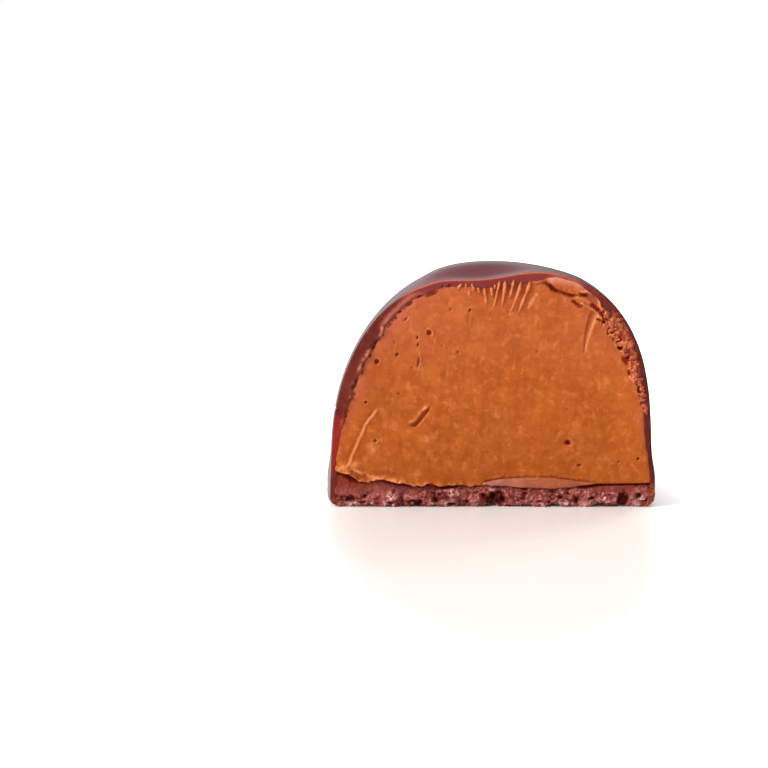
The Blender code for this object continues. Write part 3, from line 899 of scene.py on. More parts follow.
relief = relief - 0.07 * fat_lip * np.exp(-(((to_lip - 0.60) / 0.30) ** 2))
relief = relief + 0.08 * torn_lip * np.exp(-(((to_lip - 0.12) / 0.10) ** 2)) * np.clip(1 + 1.4 * grain(face_x, 1, face_z, 0.35, 86), 0, 2)
lip_groove = fat_lip * between(lip_x, -13.4, -12.6) * np.exp(-(((to_lip - 0.62) / 0.22) ** 2))
painted_shade = np.maximum(painted_shade, 0.22 * lip_groove)
painted_shade = np.maximum(painted_shade, 0.30 * fat_lip * np.exp(-((to_lip / 0.35) ** 2)) * np.clip(0.7 - 1.2 * layered(face_x, 4, face_z, 0.4, 99), 0, 1))
relief = relief - 0.10 * np.exp(-((to_lip / 0.07) ** 2))
painted_highlight = painted_highlight + 0.16 * fat_lip * np.exp(-(((to_lip - 0.13) / 0.11) ** 2)) * lip_lumps
painted_highlight = painted_highlight + 0.45 * torn_lip * np.exp(-(((to_lip - 0.10) / 0.08) ** 2)) * np.clip(0.6 + 1.4 * grain(face_x, 1, face_z, 0.35, 86), 0, 1)
# Beside the crushed edge at the right the ganache is broken up too. Its torn crests are painted lighter as painted
# highlight and its pits darker as painted shade.
crushed_width = 0.20 + 0.50 * between(face_z, 9.0, 15.5)
ragged_rim = to_rim + 0.22 * layered(face_x, 7, face_z, 0.5, 96)
crushed = (rim_line[:, 0][rim_place] > 5) * between(face_z, 8.6, 10.0) * (1 - between(face_z, 17.8, 18.6))
crushed = crushed * (1 - between(ragged_rim, 0.8 * crushed_width, 1.2 * crushed_width))
torn = 1 - 2.2 * np.abs(layered(face_x + 0.3 * face_z, 2, face_z - 0.3 * face_x, 0.62, 97))
relief = relief + crushed * 0.26 * (torn - 0.25)
painted_shade = np.maximum(painted_shade, crushed * np.clip(0.75 - 1.5 * torn, 0, 0.85))
painted_highlight = painted_highlight + crushed * np.clip(0.75 * torn - 0.2, 0, 0.45)

# Along the right of its lower edge the ganache has been smeared thinly over the foot, below a fold.
fold_x, fold_z = np.array(CRACKS[-1][0]).T
below_fold = np.interp(face_x, fold_x, fold_z) - face_z
smeared = between(below_fold, 0.0, 0.12) * between(face_x, -1.4, -0.2) * (1 - between(face_x, 8.8, 9.8))
relief = relief + 0.07 * smeared * (1 + 0.8 * layered(face_x * 0.35, 5, face_z * 1.6, 0.5, 142))
smeared_pink = smeared * (1 - 0.65 * between(face_x, 0.5, 5.0))
# A dark line along the lip under the smear, from its left end on, is painted shade.
painted_shade = np.maximum(painted_shade, 0.45 * between(face_x, 0.0, 1.5) * np.exp(-((to_lip / 0.09) ** 2)))

# At the lower left the burr ends in a pale flare, and a jagged ridge runs on from it above the lip. Both are painted
# lighter as painted highlights, and the shade under them is lifted.
LIP_RIDGE = [(-12.9, 3.50), (-12.2, 3.25), (-11.6, 3.02), (-11.0, 2.76), (-10.4, 2.66), (-9.8, 2.72), (-9.0, 2.52), (-8.0, 2.32)]
to_ridge, ridge_place = distance_to(face_x, face_z, path_line(LIP_RIDGE, 31))
jagged = np.clip(1 + 1.2 * grain(face_x, 1, face_z, 0.30, 143), 0, 2)
lip_ridge = bead(ridge_place / 79, 0.06) * np.exp(-((to_ridge / 0.13) ** 2)) * jagged
flare = np.exp(-(((face_x + 13.5) / 0.75) ** 2) - (((face_z - 3.66 - 0.12 * (face_x + 13.5)) / 0.27) ** 2))
relief = relief + 0.12 * lip_ridge + 0.10 * flare
painted_highlight = painted_highlight + 0.62 * lip_ridge + 0.70 * flare * jagged
painted_shade = painted_shade * (1 - 0.8 * np.clip(lip_ridge + flare, 0, 1))

face_y = cut_depth(face_x, face_z) - relief
filling_face = np.stack([face_x, face_y, face_z], 2)

# Behind the cut: rings that shrink from the face's edge to the middle of the dome's inside.
edge_loop = np.concatenate([filling_face[0, :-1], filling_face[:-1, -1], filling_face[-1, :0:-1], filling_face[:0:-1, 0]])
BACK_ROWS = 13
floor_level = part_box("filling")[0].z / MILLIMETRE
back_middle = np.array([0.0, RIM_RADIUS - 1.6, 7.0])
behind_rows = [edge_loop, edge_loop + np.array([0.0, 0.35, 0.0])]
for row in range(1, BACK_ROWS):
    turn = 0.5 * math.pi * row / (BACK_ROWS - 1)
    start = behind_rows[1]
    wanted = back_middle + (start - back_middle) * np.array([math.cos(turn), 1 - math.sin(turn), math.cos(turn)])
    sunk = np.clip(wanted[:, 2], floor_level, None)
    room = dome_radius(sunk) - shell_thickness(sunk) - RIM_SWELL * np.exp(-((np.maximum(sunk - RIM_LEVEL, 0) / RIM_FADE) ** 2)) - 0.15
    far = np.hypot(wanted[:, 0] - shoulder_shift(sunk), wanted[:, 1])
    pull = np.minimum(1, room / np.maximum(far, 1e-6))
    behind_rows.append(np.stack([shoulder_shift(sunk) + (wanted[:, 0] - shoulder_shift(sunk)) * pull, wanted[:, 1] * pull, sunk], 1))
behind = np.stack(behind_rows, 0)
behind = np.concatenate([behind, behind[:, :1]], 1)

GANACHE_VALUES = ("painted_shade", "painted_highlight", "pink_tint_and_highlight", "smear", "low", "pale_and_highlight")
ganache_look = Nodes("ganache")
painted_shade_value = ganache_look.value("painted_shade")
painted_highlight_value = ganache_look.value("painted_highlight")
pink_tint_and_highlight_value = ganache_look.value("pink_tint_and_highlight")
smear_value = ganache_look.value("smear")
low_shade_value = ganache_look.value("low")
broad = ganache_look.noise(5.0, 3, 0.5, (1, 1, 0.6))
medium = ganache_look.noise(1.5, 4, 0.6, (1, 1, 0.7), 0.4)
blotch = ganache_look.noise(0.55, 3, 0.6, (1, 1, 0.75), 0.6)
streak = ganache_look.noise(0.45, 2, 0.5, (1, 1, 0.13))
fine = ganache_look.noise(0.16, 3)
fleck = ganache_look.noise(0.60, 2, 0.55, (1, 1, 1.3), 0.3)
speck = ganache_look.noise(0.34, 1, 0.5, (1, 1, 1.2), 0.2)
ganache_colour = ganache_look.mix(ganache_look.spread(broad, 0.3, 0.7), (174, 82, 12), (182, 92, 23))
ganache_colour = ganache_look.mix(ganache_look.spread(medium, 0.36, 0.66, 0.2, 1.0), (162, 72, 8), ganache_colour)
ganache_colour = ganache_look.mix(ganache_look.spread(blotch, 0.50, 0.75, 0, 0.45), ganache_colour, (200, 104, 40))
ganache_colour = ganache_look.mix(ganache_look.spread(streak, 0.5, 0.75, 0, 0.3), ganache_colour, (146, 60, 8))
ganache_colour = ganache_look.mix(ganache_look.spread(fleck, 0.54, 0.72, 0, 0.30), ganache_colour, (222, 132, 76))
ganache_colour = ganache_look.mix(ganache_look.spread(speck, 0.64, 0.76, 0, 0.30), ganache_colour, (132, 46, 8))
# Below: a darker orange as painted shade towards the bottom and left, a pink tint that is also a painted highlight, the
# smear's own colour, a light orange painted highlight, a dark red painted shade, and a pale pink that is partly a
# painted highlight.
ganache_colour = ganache_look.mix(low_shade_value, ganache_colour, (154, 71, 4))
ganache_colour = ganache_look.mix(pink_tint_and_highlight_value, ganache_colour, (184, 90, 66))
ganache_colour = ganache_look.mix(smear_value, ganache_colour, (150, 68, 36))
ganache_colour = ganache_look.mix(painted_highlight_value, ganache_colour, (236, 146, 92))
ganache_colour = ganache_look.mix(painted_shade_value, ganache_colour, (128, 32, 9))
ganache_colour = ganache_look.mix(ganache_look.value("pale_and_highlight"), ganache_colour, (228, 204, 196))
ganache_look.set(ganache_look.shader.inputs["Base Color"], ganache_colour)
ganache_look.set(ganache_look.shader.inputs["Roughness"], ganache_look.spread(medium, 0.35, 0.7, 0.40, 0.54))
ganache_look.shader.inputs["Specular IOR Level"].default_value = 0.22
fine_depth = ganache_look.bump(fine, 0.35, 0.03)
ganache_look.set(ganache_look.shader.inputs["Normal"], ganache_look.bump(streak, 0.15, 0.05, fine_depth))

# A pink tint near the shell and in patches; on the flap's top, strand crests and lit crumbs it is a painted highlight.
pink_tint_and_highlight = between(face_z, 6, 18) * (1 - between(face_x, -6, 2)) * 0.12 + 0.3 * np.exp(-((to_rim / 0.7) ** 2)) * (face_z > 6)
pink_patch = between(grain(face_x, 4, face_z, 2.2, 96), -0.5, 0.4)
pink_tint_and_highlight = pink_tint_and_highlight + 0.45 * pink_patch * np.exp(-((to_rim / 1.0) ** 2)) * (1 - between(face_x, -9, -5)) * between(face_z, 8, 11)
pink_tint_and_highlight = pink_tint_and_highlight + 0.13 * between(face_z, 11, 16) + 0.08 * between(face_x, 5, 9) * between(face_z, 9, 12)
pink_tint_and_highlight = np.maximum(np.maximum(pink_tint_and_highlight, 1.0 * lit_flap_top), 0.75 * smeared_pink)
# Painted shade: the ganache is darkened towards the bottom and at the left.
left_shade = (1 - between(face_x, -12, -5.5)) * between(face_z, 7, 9.5)
low = 0.10 * (1 - between(face_z, 3, 13)) + 0.20 * left_shade
face_values = {"painted_shade": np.clip(painted_shade + 0.10 * left_shade, 0, 1), "painted_highlight": np.clip(painted_highlight, 0, 0.9), "pink_tint_and_highlight": np.clip(pink_tint_and_highlight, 0, 1), "low": low, "smear": 0.35 * smeared, "pale_and_highlight": 0.15 * lit_flap_top + 0.10 * smeared_pink}
filling = add_mesh(
    "filling_looks",
    [(filling_face, face_values), (behind, {"painted_shade": np.full(behind.shape[:2], 0.5)})],
    [ganache_look.material],
    GANACHE_VALUES,
)
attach(filling, "root")
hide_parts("filling")

# ---------------------------------------------------------------------------------------------
# FOOT. A thick layer of chocolate poured over the filling to close the praline, then struck level.
# The knife has crushed through it, so its face is a crumbly fracture with dark cavities. It meets
# the shell at both ends, and its top is hidden under the filling.
# ---------------------------------------------------------------------------------------------
FOOT_COLUMNS = 561
FOOT_ROWS = 56
foot_x = np.linspace(seam[0, 0], seam[-1, 0], FOOT_COLUMNS)
foot_top = by_station(foot_x, LIP_LEVELS) + 0.25
ragged_bottom = 0.01 + 0.30 * np.clip(layered(foot_x, 0, 3, 0.8, 91) + 0.05, 0, 1.1) + 0.12 * np.clip(grain(foot_x, 0, 5, 0.25, 92), 0, 1)
rows = np.linspace(0, 1, FOOT_ROWS)[:, None]
foot_face_z = ragged_bottom + (foot_top - ragged_bottom) * rows
FOOT_OVERLAP = 0.12
low_left = left_half & (outline[:, 2] < 5)
low_right = ~left_half & (outline[:, 2] < 5)
left_end = np.interp(foot_face_z[:, :1], seam[low_left, 1], seam[low_left, 0]) - FOOT_OVERLAP
right_end = np.interp(foot_face_z[:, -1:], seam[low_right, 1][::-1], seam[low_right, 0][::-1]) + FOOT_OVERLAP
foot_share = np.linspace(0, 1, FOOT_COLUMNS)
foot_face_x = left_end + (right_end - left_end) * foot_share
foot_relief, foot_shade, foot_glint = crumb_relief(foot_face_x, foot_face_z)
foot_relief = foot_relief * 1.25

# The deepest cavities: across, up, width, height, depth.
CAVITIES = [
    (0.5, 0.75, 2.2, 1.5, 0.85), (12.05, 0.75, 1.1, 1.8, 0.75), (13.4, 1.05, 0.9, 0.6, 0.5), (6.25, 0.9, 1.0, 0.42, 0.5),
    (7.8, 0.55, 0.8, 1.0, 0.5), (4.3, 0.5, 0.7, 0.3, 0.4), (9.0, 0.85, 0.6, 0.3, 0.35), (-13.1, 0.75, 1.5, 0.8, 0.5),
    (-11.65, 1.0, 0.5, 0.4, 0.45), (-9.2, 0.35, 0.7, 0.4, 0.5), (-7.0, 0.4, 1.2, 0.7, 0.6), (-5.2, 0.7, 0.9, 0.7, 0.5),
    (-3.8, 0.25, 0.8, 0.3, 0.4), (-2.2, 0.4, 1.2, 0.6, 0.5), (-10.6, 0.35, 0.6, 0.25, 0.4), (2.7, 0.75, 0.5, 0.3, 0.3),
    (-0.9, 1.0, 0.5, 0.5, 0.3), (10.4, 0.3, 0.9, 0.25, 0.35), (5.3, 0.45, 0.5, 0.25, 0.35), (-11.9, 0.45, 0.7, 0.3, 0.4),
]
# The cavities are painted dark as painted shade.
cavity_depth = np.zeros(foot_face_x.shape)
for hole_x, hole_z, wide, tall, deep in CAVITIES:
    bent = foot_face_x + 0.25 * grain(foot_face_x, 0, foot_face_z, 0.6, 93)
    reach = np.hypot((bent - hole_x) / (wide / 2), (foot_face_z - hole_z) / (tall / 2))
    pit = np.clip(1.15 - reach**2, 0, 1) * (0.75 + 0.5 * grain(foot_face_x, 1, foot_face_z, 0.35, 94))
    foot_relief = foot_relief - deep * pit
    foot_shade = np.maximum(foot_shade, np.clip(pit * deep * 1.8, 0, 1))
    cavity_depth = np.maximum(cavity_depth, pit)
smooth_right = between(foot_face_x, 8.8, 9.6) * between(foot_face_z, 1.15, 1.5) * (1 - between(foot_face_x, 13.0, 13.6))
smooth_left = (1 - between(foot_face_x, -9.4, -6.8)) * between(foot_face_z + 0.3 * layered(foot_face_x, 9, foot_face_z, 0.7, 147), 1.0, 1.6)
streak_bend = foot_face_z + 0.06 * (foot_face_x - 3.4) + 0.05 * grain(foot_face_x, 3, 0, 0.7, 148)
smeared_streak = between(foot_face_x, 1.9, 2.5) * (1 - between(foot_face_x, 4.4, 5.0)) * np.exp(-(((streak_bend - 1.40) / 0.15) ** 4))
smooth = np.maximum(np.maximum(smooth_right, smooth_left), smeared_streak) * (1 - np.clip(1.5 * cavity_depth, 0, 1))
red_side = (1 - 0.7 * between(foot_face_x, -11.5, -8.5)) * between(foot_face_z + 0.25 * layered(foot_face_x, 8, foot_face_z, 0.9, 145), 1.45, 2.35)
red_side = np.maximum(np.maximum(red_side, 0.9 * smeared_streak), 0.45 * between(foot_face_x, 8.0, 10.0))
foot_relief = foot_relief * (1 - smooth) + smooth * (0.03 * layered(foot_face_x, 0, foot_face_z, 1.0, 95) + 0.05 * layered(foot_face_x, 2, foot_face_z, 0.4, 146))
foot_shade = foot_shade * (1 - smooth)
# Painted shadow under the filling's lip.
shadow_under_lip = np.exp(-(((foot_top - 0.25 - foot_face_z) / 0.32) ** 2)) * (0.45 + 0.55 * between(foot_face_x, -10.5, -8.0))
shadow_under_lip = shadow_under_lip * (1 - 0.6 * between(foot_face_x, 0.5, 2.0)) + 0.9 * between(foot_face_x, 7.6, 8.6) * np.exp(-(((foot_top - 0.28 - foot_face_z) / 0.13) ** 2))
foot_shade = np.maximum(foot_shade, 0.85 * np.clip(shadow_under_lip, 0, 1))
foot_relief = foot_relief - 0.22 * np.clip(shadow_under_lip, 0, 1)
foot_glint = foot_glint * (1 - smooth) * (1 - np.clip(foot_shade, 0, 1))
foot_glint = np.clip(foot_glint + 0.8 * np.clip(layered(foot_x, 6, 0, 0.7, 98), 0, 1) * np.exp(-(((foot_face_z - 0.3) / 0.35) ** 2)) * (1 - foot_shade), 0, 1)
bottom_turn = 0.16 * np.exp(-(((foot_face_z - ragged_bottom) / 0.12) ** 2))
top_turn = 0.35 * between(foot_face_z - foot_top, -0.45, 0.0)
FOOT_SET_BACK = 0.06
foot_y = cut_depth(foot_face_x, foot_face_z) - foot_relief + FOOT_SET_BACK + bottom_turn + top_turn
foot_face = np.stack([foot_face_x, foot_y, foot_face_z], 2)

# The hidden part: back along the top, down the round wall, and forward along the flat underside.
foot_radius = WALL_RADIUS - SHELL_AT_WALL - 0.05
wall_y = np.sqrt(np.maximum(foot_radius**2 - foot_x**2, 0.5))
foot_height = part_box("foot")[1].z / MILLIMETRE
top_front = foot_face[-1]
hidden_rows = [top_front]
for share in np.linspace(0.15, 1, 5):
    back_z = top_front[:, 2] * (1 - share) + foot_height * share
    hidden_rows.append(np.stack([foot_x, top_front[:, 1] * (1 - share) + wall_y * share, back_z], 1))
hidden_rows.append(np.stack([foot_x, wall_y, 0.05 + 0 * foot_x], 1))
for share in np.linspace(0.85, 0.15, 5):
    hidden_rows.append(np.stack([foot_x, foot_face[0, :, 1] * (1 - share) + wall_y * share, 0.02 + 0 * foot_x], 1))
hidden_rows.append(foot_face[0])
foot_hidden = np.stack(hidden_rows, 0)
end_caps = []
for column in (0, -1):
    loop = np.concatenate([foot_face[:, column], foot_hidden[1:-1, column]])
    middle = loop.mean(0)
    end_caps.append(np.stack([np.concatenate([loop, loop[:1]]), np.repeat(middle[None], len(loop) + 1, 0)], 0))

foot_look = Nodes("foot_chocolate")
painted_shade_value = foot_look.value("painted_shade")
smooth_value = foot_look.value("smooth")
glint_value = foot_look.value("glint")
red_value = foot_look.value("red")
broad = foot_look.noise(1.6, 3)
medium = foot_look.noise(0.5, 3)
fine = foot_look.noise(0.13, 3)
foot_colour = foot_look.mix(foot_look.spread(broad, 0.3, 0.7), (138, 54, 46), (166, 78, 68))
foot_colour = foot_look.mix(foot_look.spread(medium, 0.45, 0.75, 0, 0.6), foot_colour, (182, 102, 90))
foot_colour = foot_look.mix(foot_look.spread(fine, 0.6, 0.8, 0, 0.25), foot_colour, (214, 154, 144))
smooth_colour = foot_look.mix(red_value, foot_look.mix(foot_look.spread(broad, 0.35, 0.65), (128, 54, 48), (148, 70, 62)), (132, 42, 14))
foot_colour = foot_look.mix(smooth_value, foot_colour, smooth_colour)
# Painted highlight on the glints, then painted shade in cavities, pockets and under the lip.
foot_colour = foot_look.mix(glint_value, foot_colour, (240, 192, 182))
foot_colour = foot_look.mix(painted_shade_value, foot_colour, (90, 11, 7))
foot_look.set(foot_look.shader.inputs["Base Color"], foot_colour)
foot_look.set(foot_look.shader.inputs["Roughness"], foot_look.spread(medium, 0.35, 0.7, 0.34, 0.55))
foot_look.shader.inputs["Specular IOR Level"].default_value = 0.3
fine_depth = foot_look.bump(fine, 0.5, 0.05)
foot_look.set(foot_look.shader.inputs["Normal"], foot_look.bump(medium, 0.3, 0.06, fine_depth))
# The foot's face is also darkened a little towards the right.
foot = add_mesh(
    "foot_looks",
    [(foot_face, {"painted_shade": np.clip(foot_shade + 0.12 * between(foot_face_x, 7.0, 9.5), 0, 1), "smooth": smooth, "glint": 0.7 * foot_glint, "red": red_side}), (foot_hidden, {}), (end_caps[0], {}), (end_caps[1], {})],
    [foot_look.material],
    ("painted_shade", "smooth", "glint", "red"),
)
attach(foot, "root")
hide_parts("foot")

# ---------------------------------------------------------------------------------------------
# DRAGGED GANACHE. What the knife has pulled about: a fan of fine strands of ganache under the top edge,
# still stuck to the cut face. The flap and the curl torn loose at the upper right, and the smear drawn
# across the top of the foot, are shaped in the filling's face above.
# ---------------------------------------------------------------------------------------------
STUCK_IN = 0.06


def closed_loops(rings):
    """Turns rings of points, each going round a strand, into a grid that closes on itself."""
    return np.concatenate([rings, rings[:, :1]], 1)


def strand(start, end, wide, proud, seed):
    """A thin ridge of ganache lying on the cut face, tapering at both ends."""
    share = np.linspace(0, 1, 34)[:, None]
    turn = np.linspace(0, 2 * math.pi, 13)[:-1][None]
    taper = np.clip(np.minimum(share / 0.12, (1 - share) / 0.3), 0.02, 1) ** 0.6
    taper = taper * (1 + 0.25 * grain(share * 3, seed, 0, 0.35, 101))
    middle_x = start[0] + (end[0] - start[0]) * share + 0.05 * grain(share * 3, seed, 5, 0.9, 102)
    middle_z = start[1] + (end[1] - start[1]) * share
    length = math.hypot(end[0] - start[0], end[1] - start[1])
    right = np.array([-(end[1] - start[1]), end[0] - start[0]]) / length
    out = 0.5 * wide * np.cos(turn) * taper
    lift = proud * np.sin(turn) * taper
    x = middle_x + right[0] * out
    z = middle_z + right[1] * out
    y = cut_depth(x, z) + STUCK_IN * 0.5 - lift
    return closed_loops(np.stack([x + 0 * y, y, z + 0 * y], 2)), np.clip(np.sin(turn), 0, 1) * taper


STRANDS = [
    ((3.5, 20.85), (2.2, 17.55), 0.30, 0.26), ((2.66, 20.8), (1.5, 17.5), 0.30, 0.24), ((1.96, 20.95), (1.45, 19.0), 0.28, 0.26),
    ((1.15, 20.85), (0.8, 18.2), 0.30, 0.27), ((0.62, 20.85), (0.0, 18.05), 0.24, 0.24), ((-0.12, 20.25), (-0.10, 19.3), 0.26, 0.22),
    ((-0.78, 20.25), (-0.62, 18.5), 0.28, 0.24), ((-1.38, 20.25), (-1.3, 19.65), 0.26, 0.2), ((4.15, 19.8), (3.0, 17.95), 0.50, 0.10),
    ((1.62, 18.5), (1.5, 17.4), 0.22, 0.12), ((0.3, 19.4), (-0.2, 17.8), 0.2, 0.08), ((-1.95, 20.62), (-1.72, 19.85), 0.22, 0.15),
    ((-2.9, 20.6), (-3.3, 19.95), 0.24, 0.13), ((-2.2, 20.0), (-2.15, 19.4), 0.2, 0.1), ((-2.45, 20.62), (-2.5, 20.1), 0.18, 0.12), ((0.2, 20.5), (0.1, 20.0), 0.2, 0.16),
]
# Each strand's proud crest is painted lighter and pinker as a painted highlight, and its sides darker as painted shade.
strand_grids = []
for number, (start, end, wide, proud) in enumerate(STRANDS):
    points, lit_crest = strand(start, end, wide, proud, number * 3.7)
    lit_crest = np.concatenate([lit_crest, lit_crest[:, :1]], 1)
    strand_grids.append((points, {"painted_highlight": 0.38 * lit_crest, "pink_tint_and_highlight": 0.35 * lit_crest, "painted_shade": 0.3 * (1 - lit_crest)}))

dragged = add_mesh("dragged_ganache", strand_grids, [ganache_look.material], GANACHE_VALUES)
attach(dragged, "root")

# ---------------------------------------------------------------------------------------------
# CRUMBS. Broken lumps of shell and ganache crushed together down the right side of the cut, and one
# pale crumb stuck to the outside at the left.
# ---------------------------------------------------------------------------------------------
def lump(x, z, size, proud, lean, seed):
    """A small torn lump on the cut face: a ball stretched along its lean and broken into ridges."""
    turn = np.linspace(0, 2 * math.pi, 27)[None]
    tip = np.linspace(0, math.pi, 16)[:, None]
    direction = np.stack([np.sin(tip) * np.cos(turn), np.cos(tip) + 0 * turn, np.sin(tip) * np.sin(turn)], 2)
    reach = 1 + 0.5 * grain(direction[..., 0] + seed, direction[..., 1], direction[..., 2], 0.9, 151)
    ridge = 1 - 2 * np.abs(grain(direction[..., 0] + seed, direction[..., 1], direction[..., 2], 0.5, 152))
    reach = reach + 0.22 * ridge
    points = direction * reach[..., None] * np.array([1.3, 0.38, 0.75]) * size / 2
    points[:, -1] = points[:, 0]
    points[0] = points[0, 0]
    points[-1] = points[-1, 0]
    across = points[..., 0] * math.cos(lean) - points[..., 2] * math.sin(lean)
    up = points[..., 0] * math.sin(lean) + points[..., 2] * math.cos(lean)
    points = np.stack([x + across, cut_depth(x, z) - proud + points[..., 1], z + up], 2)
    push = 0.12 * grain(points[..., 0], points[..., 1], points[..., 2], 0.32, 154)
    return points + push[..., None] * direction, direction


# Each lump is painted lighter and pinker on its side toward the light and darker on its side away from it, as painted
# highlight and painted shade; a quarter of the lumps are darker.
crumb_grids = []
on_right = np.where((side > 0) & (outline[:, 2] > 8.4) & (outline[:, 2] < 18.5))[0]
CRUMB_LEVELS = [8.4, 11.2, 13.5, 15.8, 17.5, 18.7]
CRUMBS_FROM_EDGE = [0.25, 0.36, 0.48, 0.40, 0.15, 0.15]
CRUMBS_TO = [0.50, 0.80, 1.20, 1.55, 1.50, 1.15]
# Large lumps first, then smaller ones between them: how many, smallest and largest size, how proud.
for layer, (count, smallest, largest, proud) in enumerate([(34, 0.50, 0.92, 0.0), (40, 0.28, 0.48, 0.05), (16, 0.14, 0.24, 0.08)]):
    for number in range(count):
        turn_of = number + 1000 * layer
        chance = [0.5 + 0.5 * float(hashed(turn_of, part, 7, 161)) for part in range(1, 8)]
        spot = on_right[int((number + chance[0]) / count * (len(on_right) - 1))]
        level = outline[spot, 2]
        near = np.interp(level, CRUMB_LEVELS, CRUMBS_FROM_EDGE)
        far = np.interp(level, CRUMB_LEVELS, CRUMBS_TO)
        size = (smallest + (largest - smallest) * chance[2] ** 1.5) * np.interp(level, [8.4, 13.5, 16.5, 17.4, 18.5], [0.45, 0.8, 1.0, 0.9, 0.6])
        step_in = max(near + (far - near) * chance[1] ** 0.7, 0.9 * size)
        x, z = outline[spot, [0, 2]] + inward[spot] * step_in
        lean = (chance[3] - 0.6) * 2.2
        points, direction = lump(x, z, size, proud, lean, turn_of)
        lit = np.clip(-direction[..., 1] - 0.45 * direction[..., 0] + 0.35 * direction[..., 2], 0, 1)
        shade = 0.40 * (chance[4] < 0.25)
        crumb_values = {
            "painted_highlight": 0.62 * chance[5] ** 2 * lit,
            "pink_tint_and_highlight": 0.35 + 0.5 * lit * chance[6],
            "smear": 0.7 * (chance[6] < 0.35),
            "painted_shade": np.clip(0.22 + 0.70 * (1 - lit) + shade, 0, 0.95),
        }
        crumb_grids.append((points, crumb_values))
PALE_CRUMB_LEVEL = 9.13
PALE_CRUMB_SIZE = 0.40
pale_spot = outline[int(np.argmax((side < 0) & (outline[:, 2] > PALE_CRUMB_LEVEL)))]
points, direction = lump(0.0, PALE_CRUMB_LEVEL, PALE_CRUMB_SIZE, 0.0, 0.0, 77)
points = points + np.array([pale_spot[0] - 0.03, pale_spot[1] + 0.12 - cut_depth(0.0, PALE_CRUMB_LEVEL), 0.0])
crumb_grids.append((points, {"pale_and_highlight": 0.95}))
crumbs = add_mesh("crumbs", crumb_grids, [ganache_look.material], GANACHE_VALUES)
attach(crumbs, "root")

# ---------------------------------------------------------------------------------------------
# TABLE, LIGHT AND CAMERA. A plain white table under a broad, soft light from the upper left.
# ---------------------------------------------------------------------------------------------
TABLE_HALF_SIZE = 3000.0
table_mesh = bpy.data.meshes.new("table")
table_corners = [(-1, -1), (1, -1), (1, 1), (-1, 1)]
table_points = [(i * TABLE_HALF_SIZE * MILLIMETRE, j * TABLE_HALF_SIZE * MILLIMETRE, 0.0) for i, j in table_corners]
table_mesh.from_pydata(table_points, [], [(0, 1, 2, 3)])
table = bpy.data.objects.new("table", table_mesh)
bpy.context.scene.collection.objects.link(table)
table_look = Nodes("table_white")
cloud = table_look.noise(60.0, 2)
table_look.set(table_look.shader.inputs["Base Color"], table_look.mix(cloud, (241, 237, 231), (245, 242, 237)))
table_look.shader.inputs["Roughness"].default_value = 0.28
table_look.shader.inputs["Specular IOR Level"].default_value = 0.4
# The table glows, not at all next to the praline and fully further off, so it fades to white and the shadows beside the
# praline are lifted: painted light.
from_middle = table_look.add("ShaderNodeVectorMath", operation="LENGTH")
spot_shape = table_look.add("ShaderNodeMapping")
table_look.set(spot_shape.inputs["Vector"], table_look.place)
spot_shape.inputs["Location"].default_value = (0.0, 0.018, 0.0)
spot_shape.inputs["Scale"].default_value = (3.5, 1.0, 1.0)
table_look.set(from_middle.inputs[0], spot_shape.outputs[0])
table_glow = table_look.spread(from_middle.outputs["Value"], 0.035, 0.10, 0.0, 1.0)
table_look.shader.inputs["Emission Color"].default_value = (1.0, 1.0, 1.0, 1.0)
table_look.set(table_look.shader.inputs["Emission Strength"], table_glow)
table.visible_glossy = False
table_mesh.materials.append(table_look.material)

world = bpy.data.worlds.new("white_room")
bpy.context.scene.world = world
world.use_nodes = True
room_nodes = world.node_tree.nodes
room_links = world.node_tree.links
room = room_nodes["Background"]
room.inputs["Color"].default_value = (1.0, 1.0, 1.0, 1.0)
ROOM_LIGHT = 0.51
REFLECTED_LEFT = 1.0
REFLECTED_BELOW = 0.22
REFLECTED_LOW = 0.74
REFLECTED_HIGH = 0.38
SIDE_DARKENING = 0.28
seen = room_nodes.new("ShaderNodeLightPath")
direction = room_nodes.new("ShaderNodeSeparateXYZ")
room_links.new(room_nodes.new("ShaderNodeTexCoord").outputs["Generated"], direction.inputs[0])


def room_range(value, low, high, to_low, to_high):
    node = room_nodes.new("ShaderNodeMapRange")
    node.interpolation_type = "SMOOTHSTEP"
    for socket, part in zip(node.inputs, (value, low, high, to_low, to_high)):
        if isinstance(part, bpy.types.NodeSocket):
            room_links.new(part, socket)
        else:
            socket.default_value = part
    return node.outputs[0]


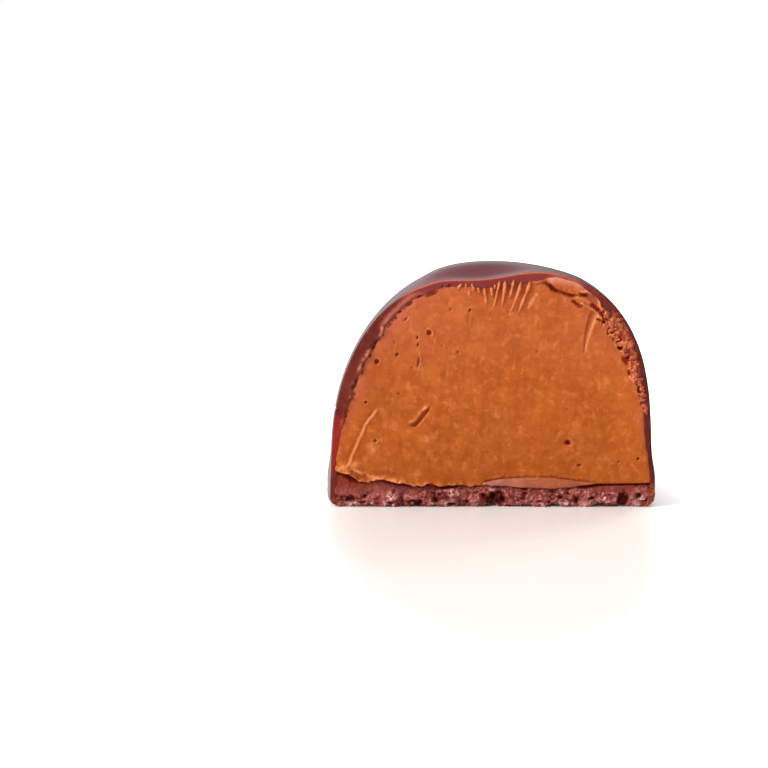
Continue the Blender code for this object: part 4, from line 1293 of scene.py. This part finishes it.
horizon = room_range(direction.outputs["X"], -0.50, 0.12, REFLECTED_LEFT, REFLECTED_BELOW)
horizon = room_range(direction.outputs["Y"], -0.30, 0.60, REFLECTED_BELOW, horizon)
rising = room_range(direction.outputs["Z"], -0.02, 0.34, horizon, REFLECTED_LOW)
over = room_range(direction.outputs["Z"], 0.38, 0.80, rising, REFLECTED_HIGH)
level_share = room_range(direction.outputs["Z"], 0.30, 0.60, SIDE_DARKENING, 1.0)
side_share = room_range(direction.outputs["X"], -0.06, 0.34, 1.0, level_share)
shaded = room_nodes.new("ShaderNodeMath")
shaded.operation = "MULTIPLY"
room_links.new(over, shaded.inputs[0])
room_links.new(side_share, shaded.inputs[1])
reflected = shaded.outputs[0]
not_camera = room_range(seen.outputs["Is Glossy Ray"], 0.0, 1.0, ROOM_LIGHT, reflected)
room_links.new(room_range(seen.outputs["Is Camera Ray"], 0.0, 1.0, not_camera, 1.0), room.inputs["Strength"])


def soft_light(name, place, aim, width, height, power):
    lamp = bpy.data.lights.new(name, "AREA")
    lamp.shape = "RECTANGLE"
    lamp.size = width * MILLIMETRE
    lamp.size_y = height * MILLIMETRE
    lamp.energy = power
    holder = bpy.data.objects.new(name, lamp)
    bpy.context.scene.collection.objects.link(holder)
    holder.location = [part * MILLIMETRE for part in place]
    direction = np.array(aim, float) - np.array(place, float)
    holder.rotation_mode = "QUATERNION"
    holder.rotation_quaternion = track(direction)
    holder.visible_camera = False
    return holder


def track(direction):
    """The turn that points a lamp along a direction with its top up."""
    return Vector(direction).to_track_quat("-Z", "Y")


soft_light("window_left", (-420, -180, 330), (0, 0, 10), 200, 220, 3.15)
soft_light("window_back", (260, 420, 300), (0, 0, 10), 220, 260, 1.4)
daylight = bpy.data.lights.new("daylight", "SUN")
daylight.energy = 0.6
daylight.angle = math.radians(60)
daylight_holder = bpy.data.objects.new("daylight", daylight)
bpy.context.scene.collection.objects.link(daylight_holder)
daylight_holder.visible_glossy = False
daylight_holder.rotation_mode = "QUATERNION"
daylight_holder.rotation_quaternion = track((0.45, 0.30, -0.84))

CAMERA_PLACE = (-9.96, -233.0, 38.5)
CAMERA_PITCH = 6.72
CAMERA_LENS = 118.6
camera_data = bpy.data.cameras.new("camera")
camera_data.lens = CAMERA_LENS
camera_data.sensor_width = 36.0
camera_data.clip_start = 0.01
camera_data.clip_end = 20.0
camera = bpy.data.objects.new("camera", camera_data)
bpy.context.scene.collection.objects.link(camera)
camera.location = [part * MILLIMETRE for part in CAMERA_PLACE]
camera.rotation_euler = (math.radians(90 - CAMERA_PITCH), 0, 0)
bpy.context.scene.camera = camera
bpy.context.scene.view_settings.view_transform = "Standard"
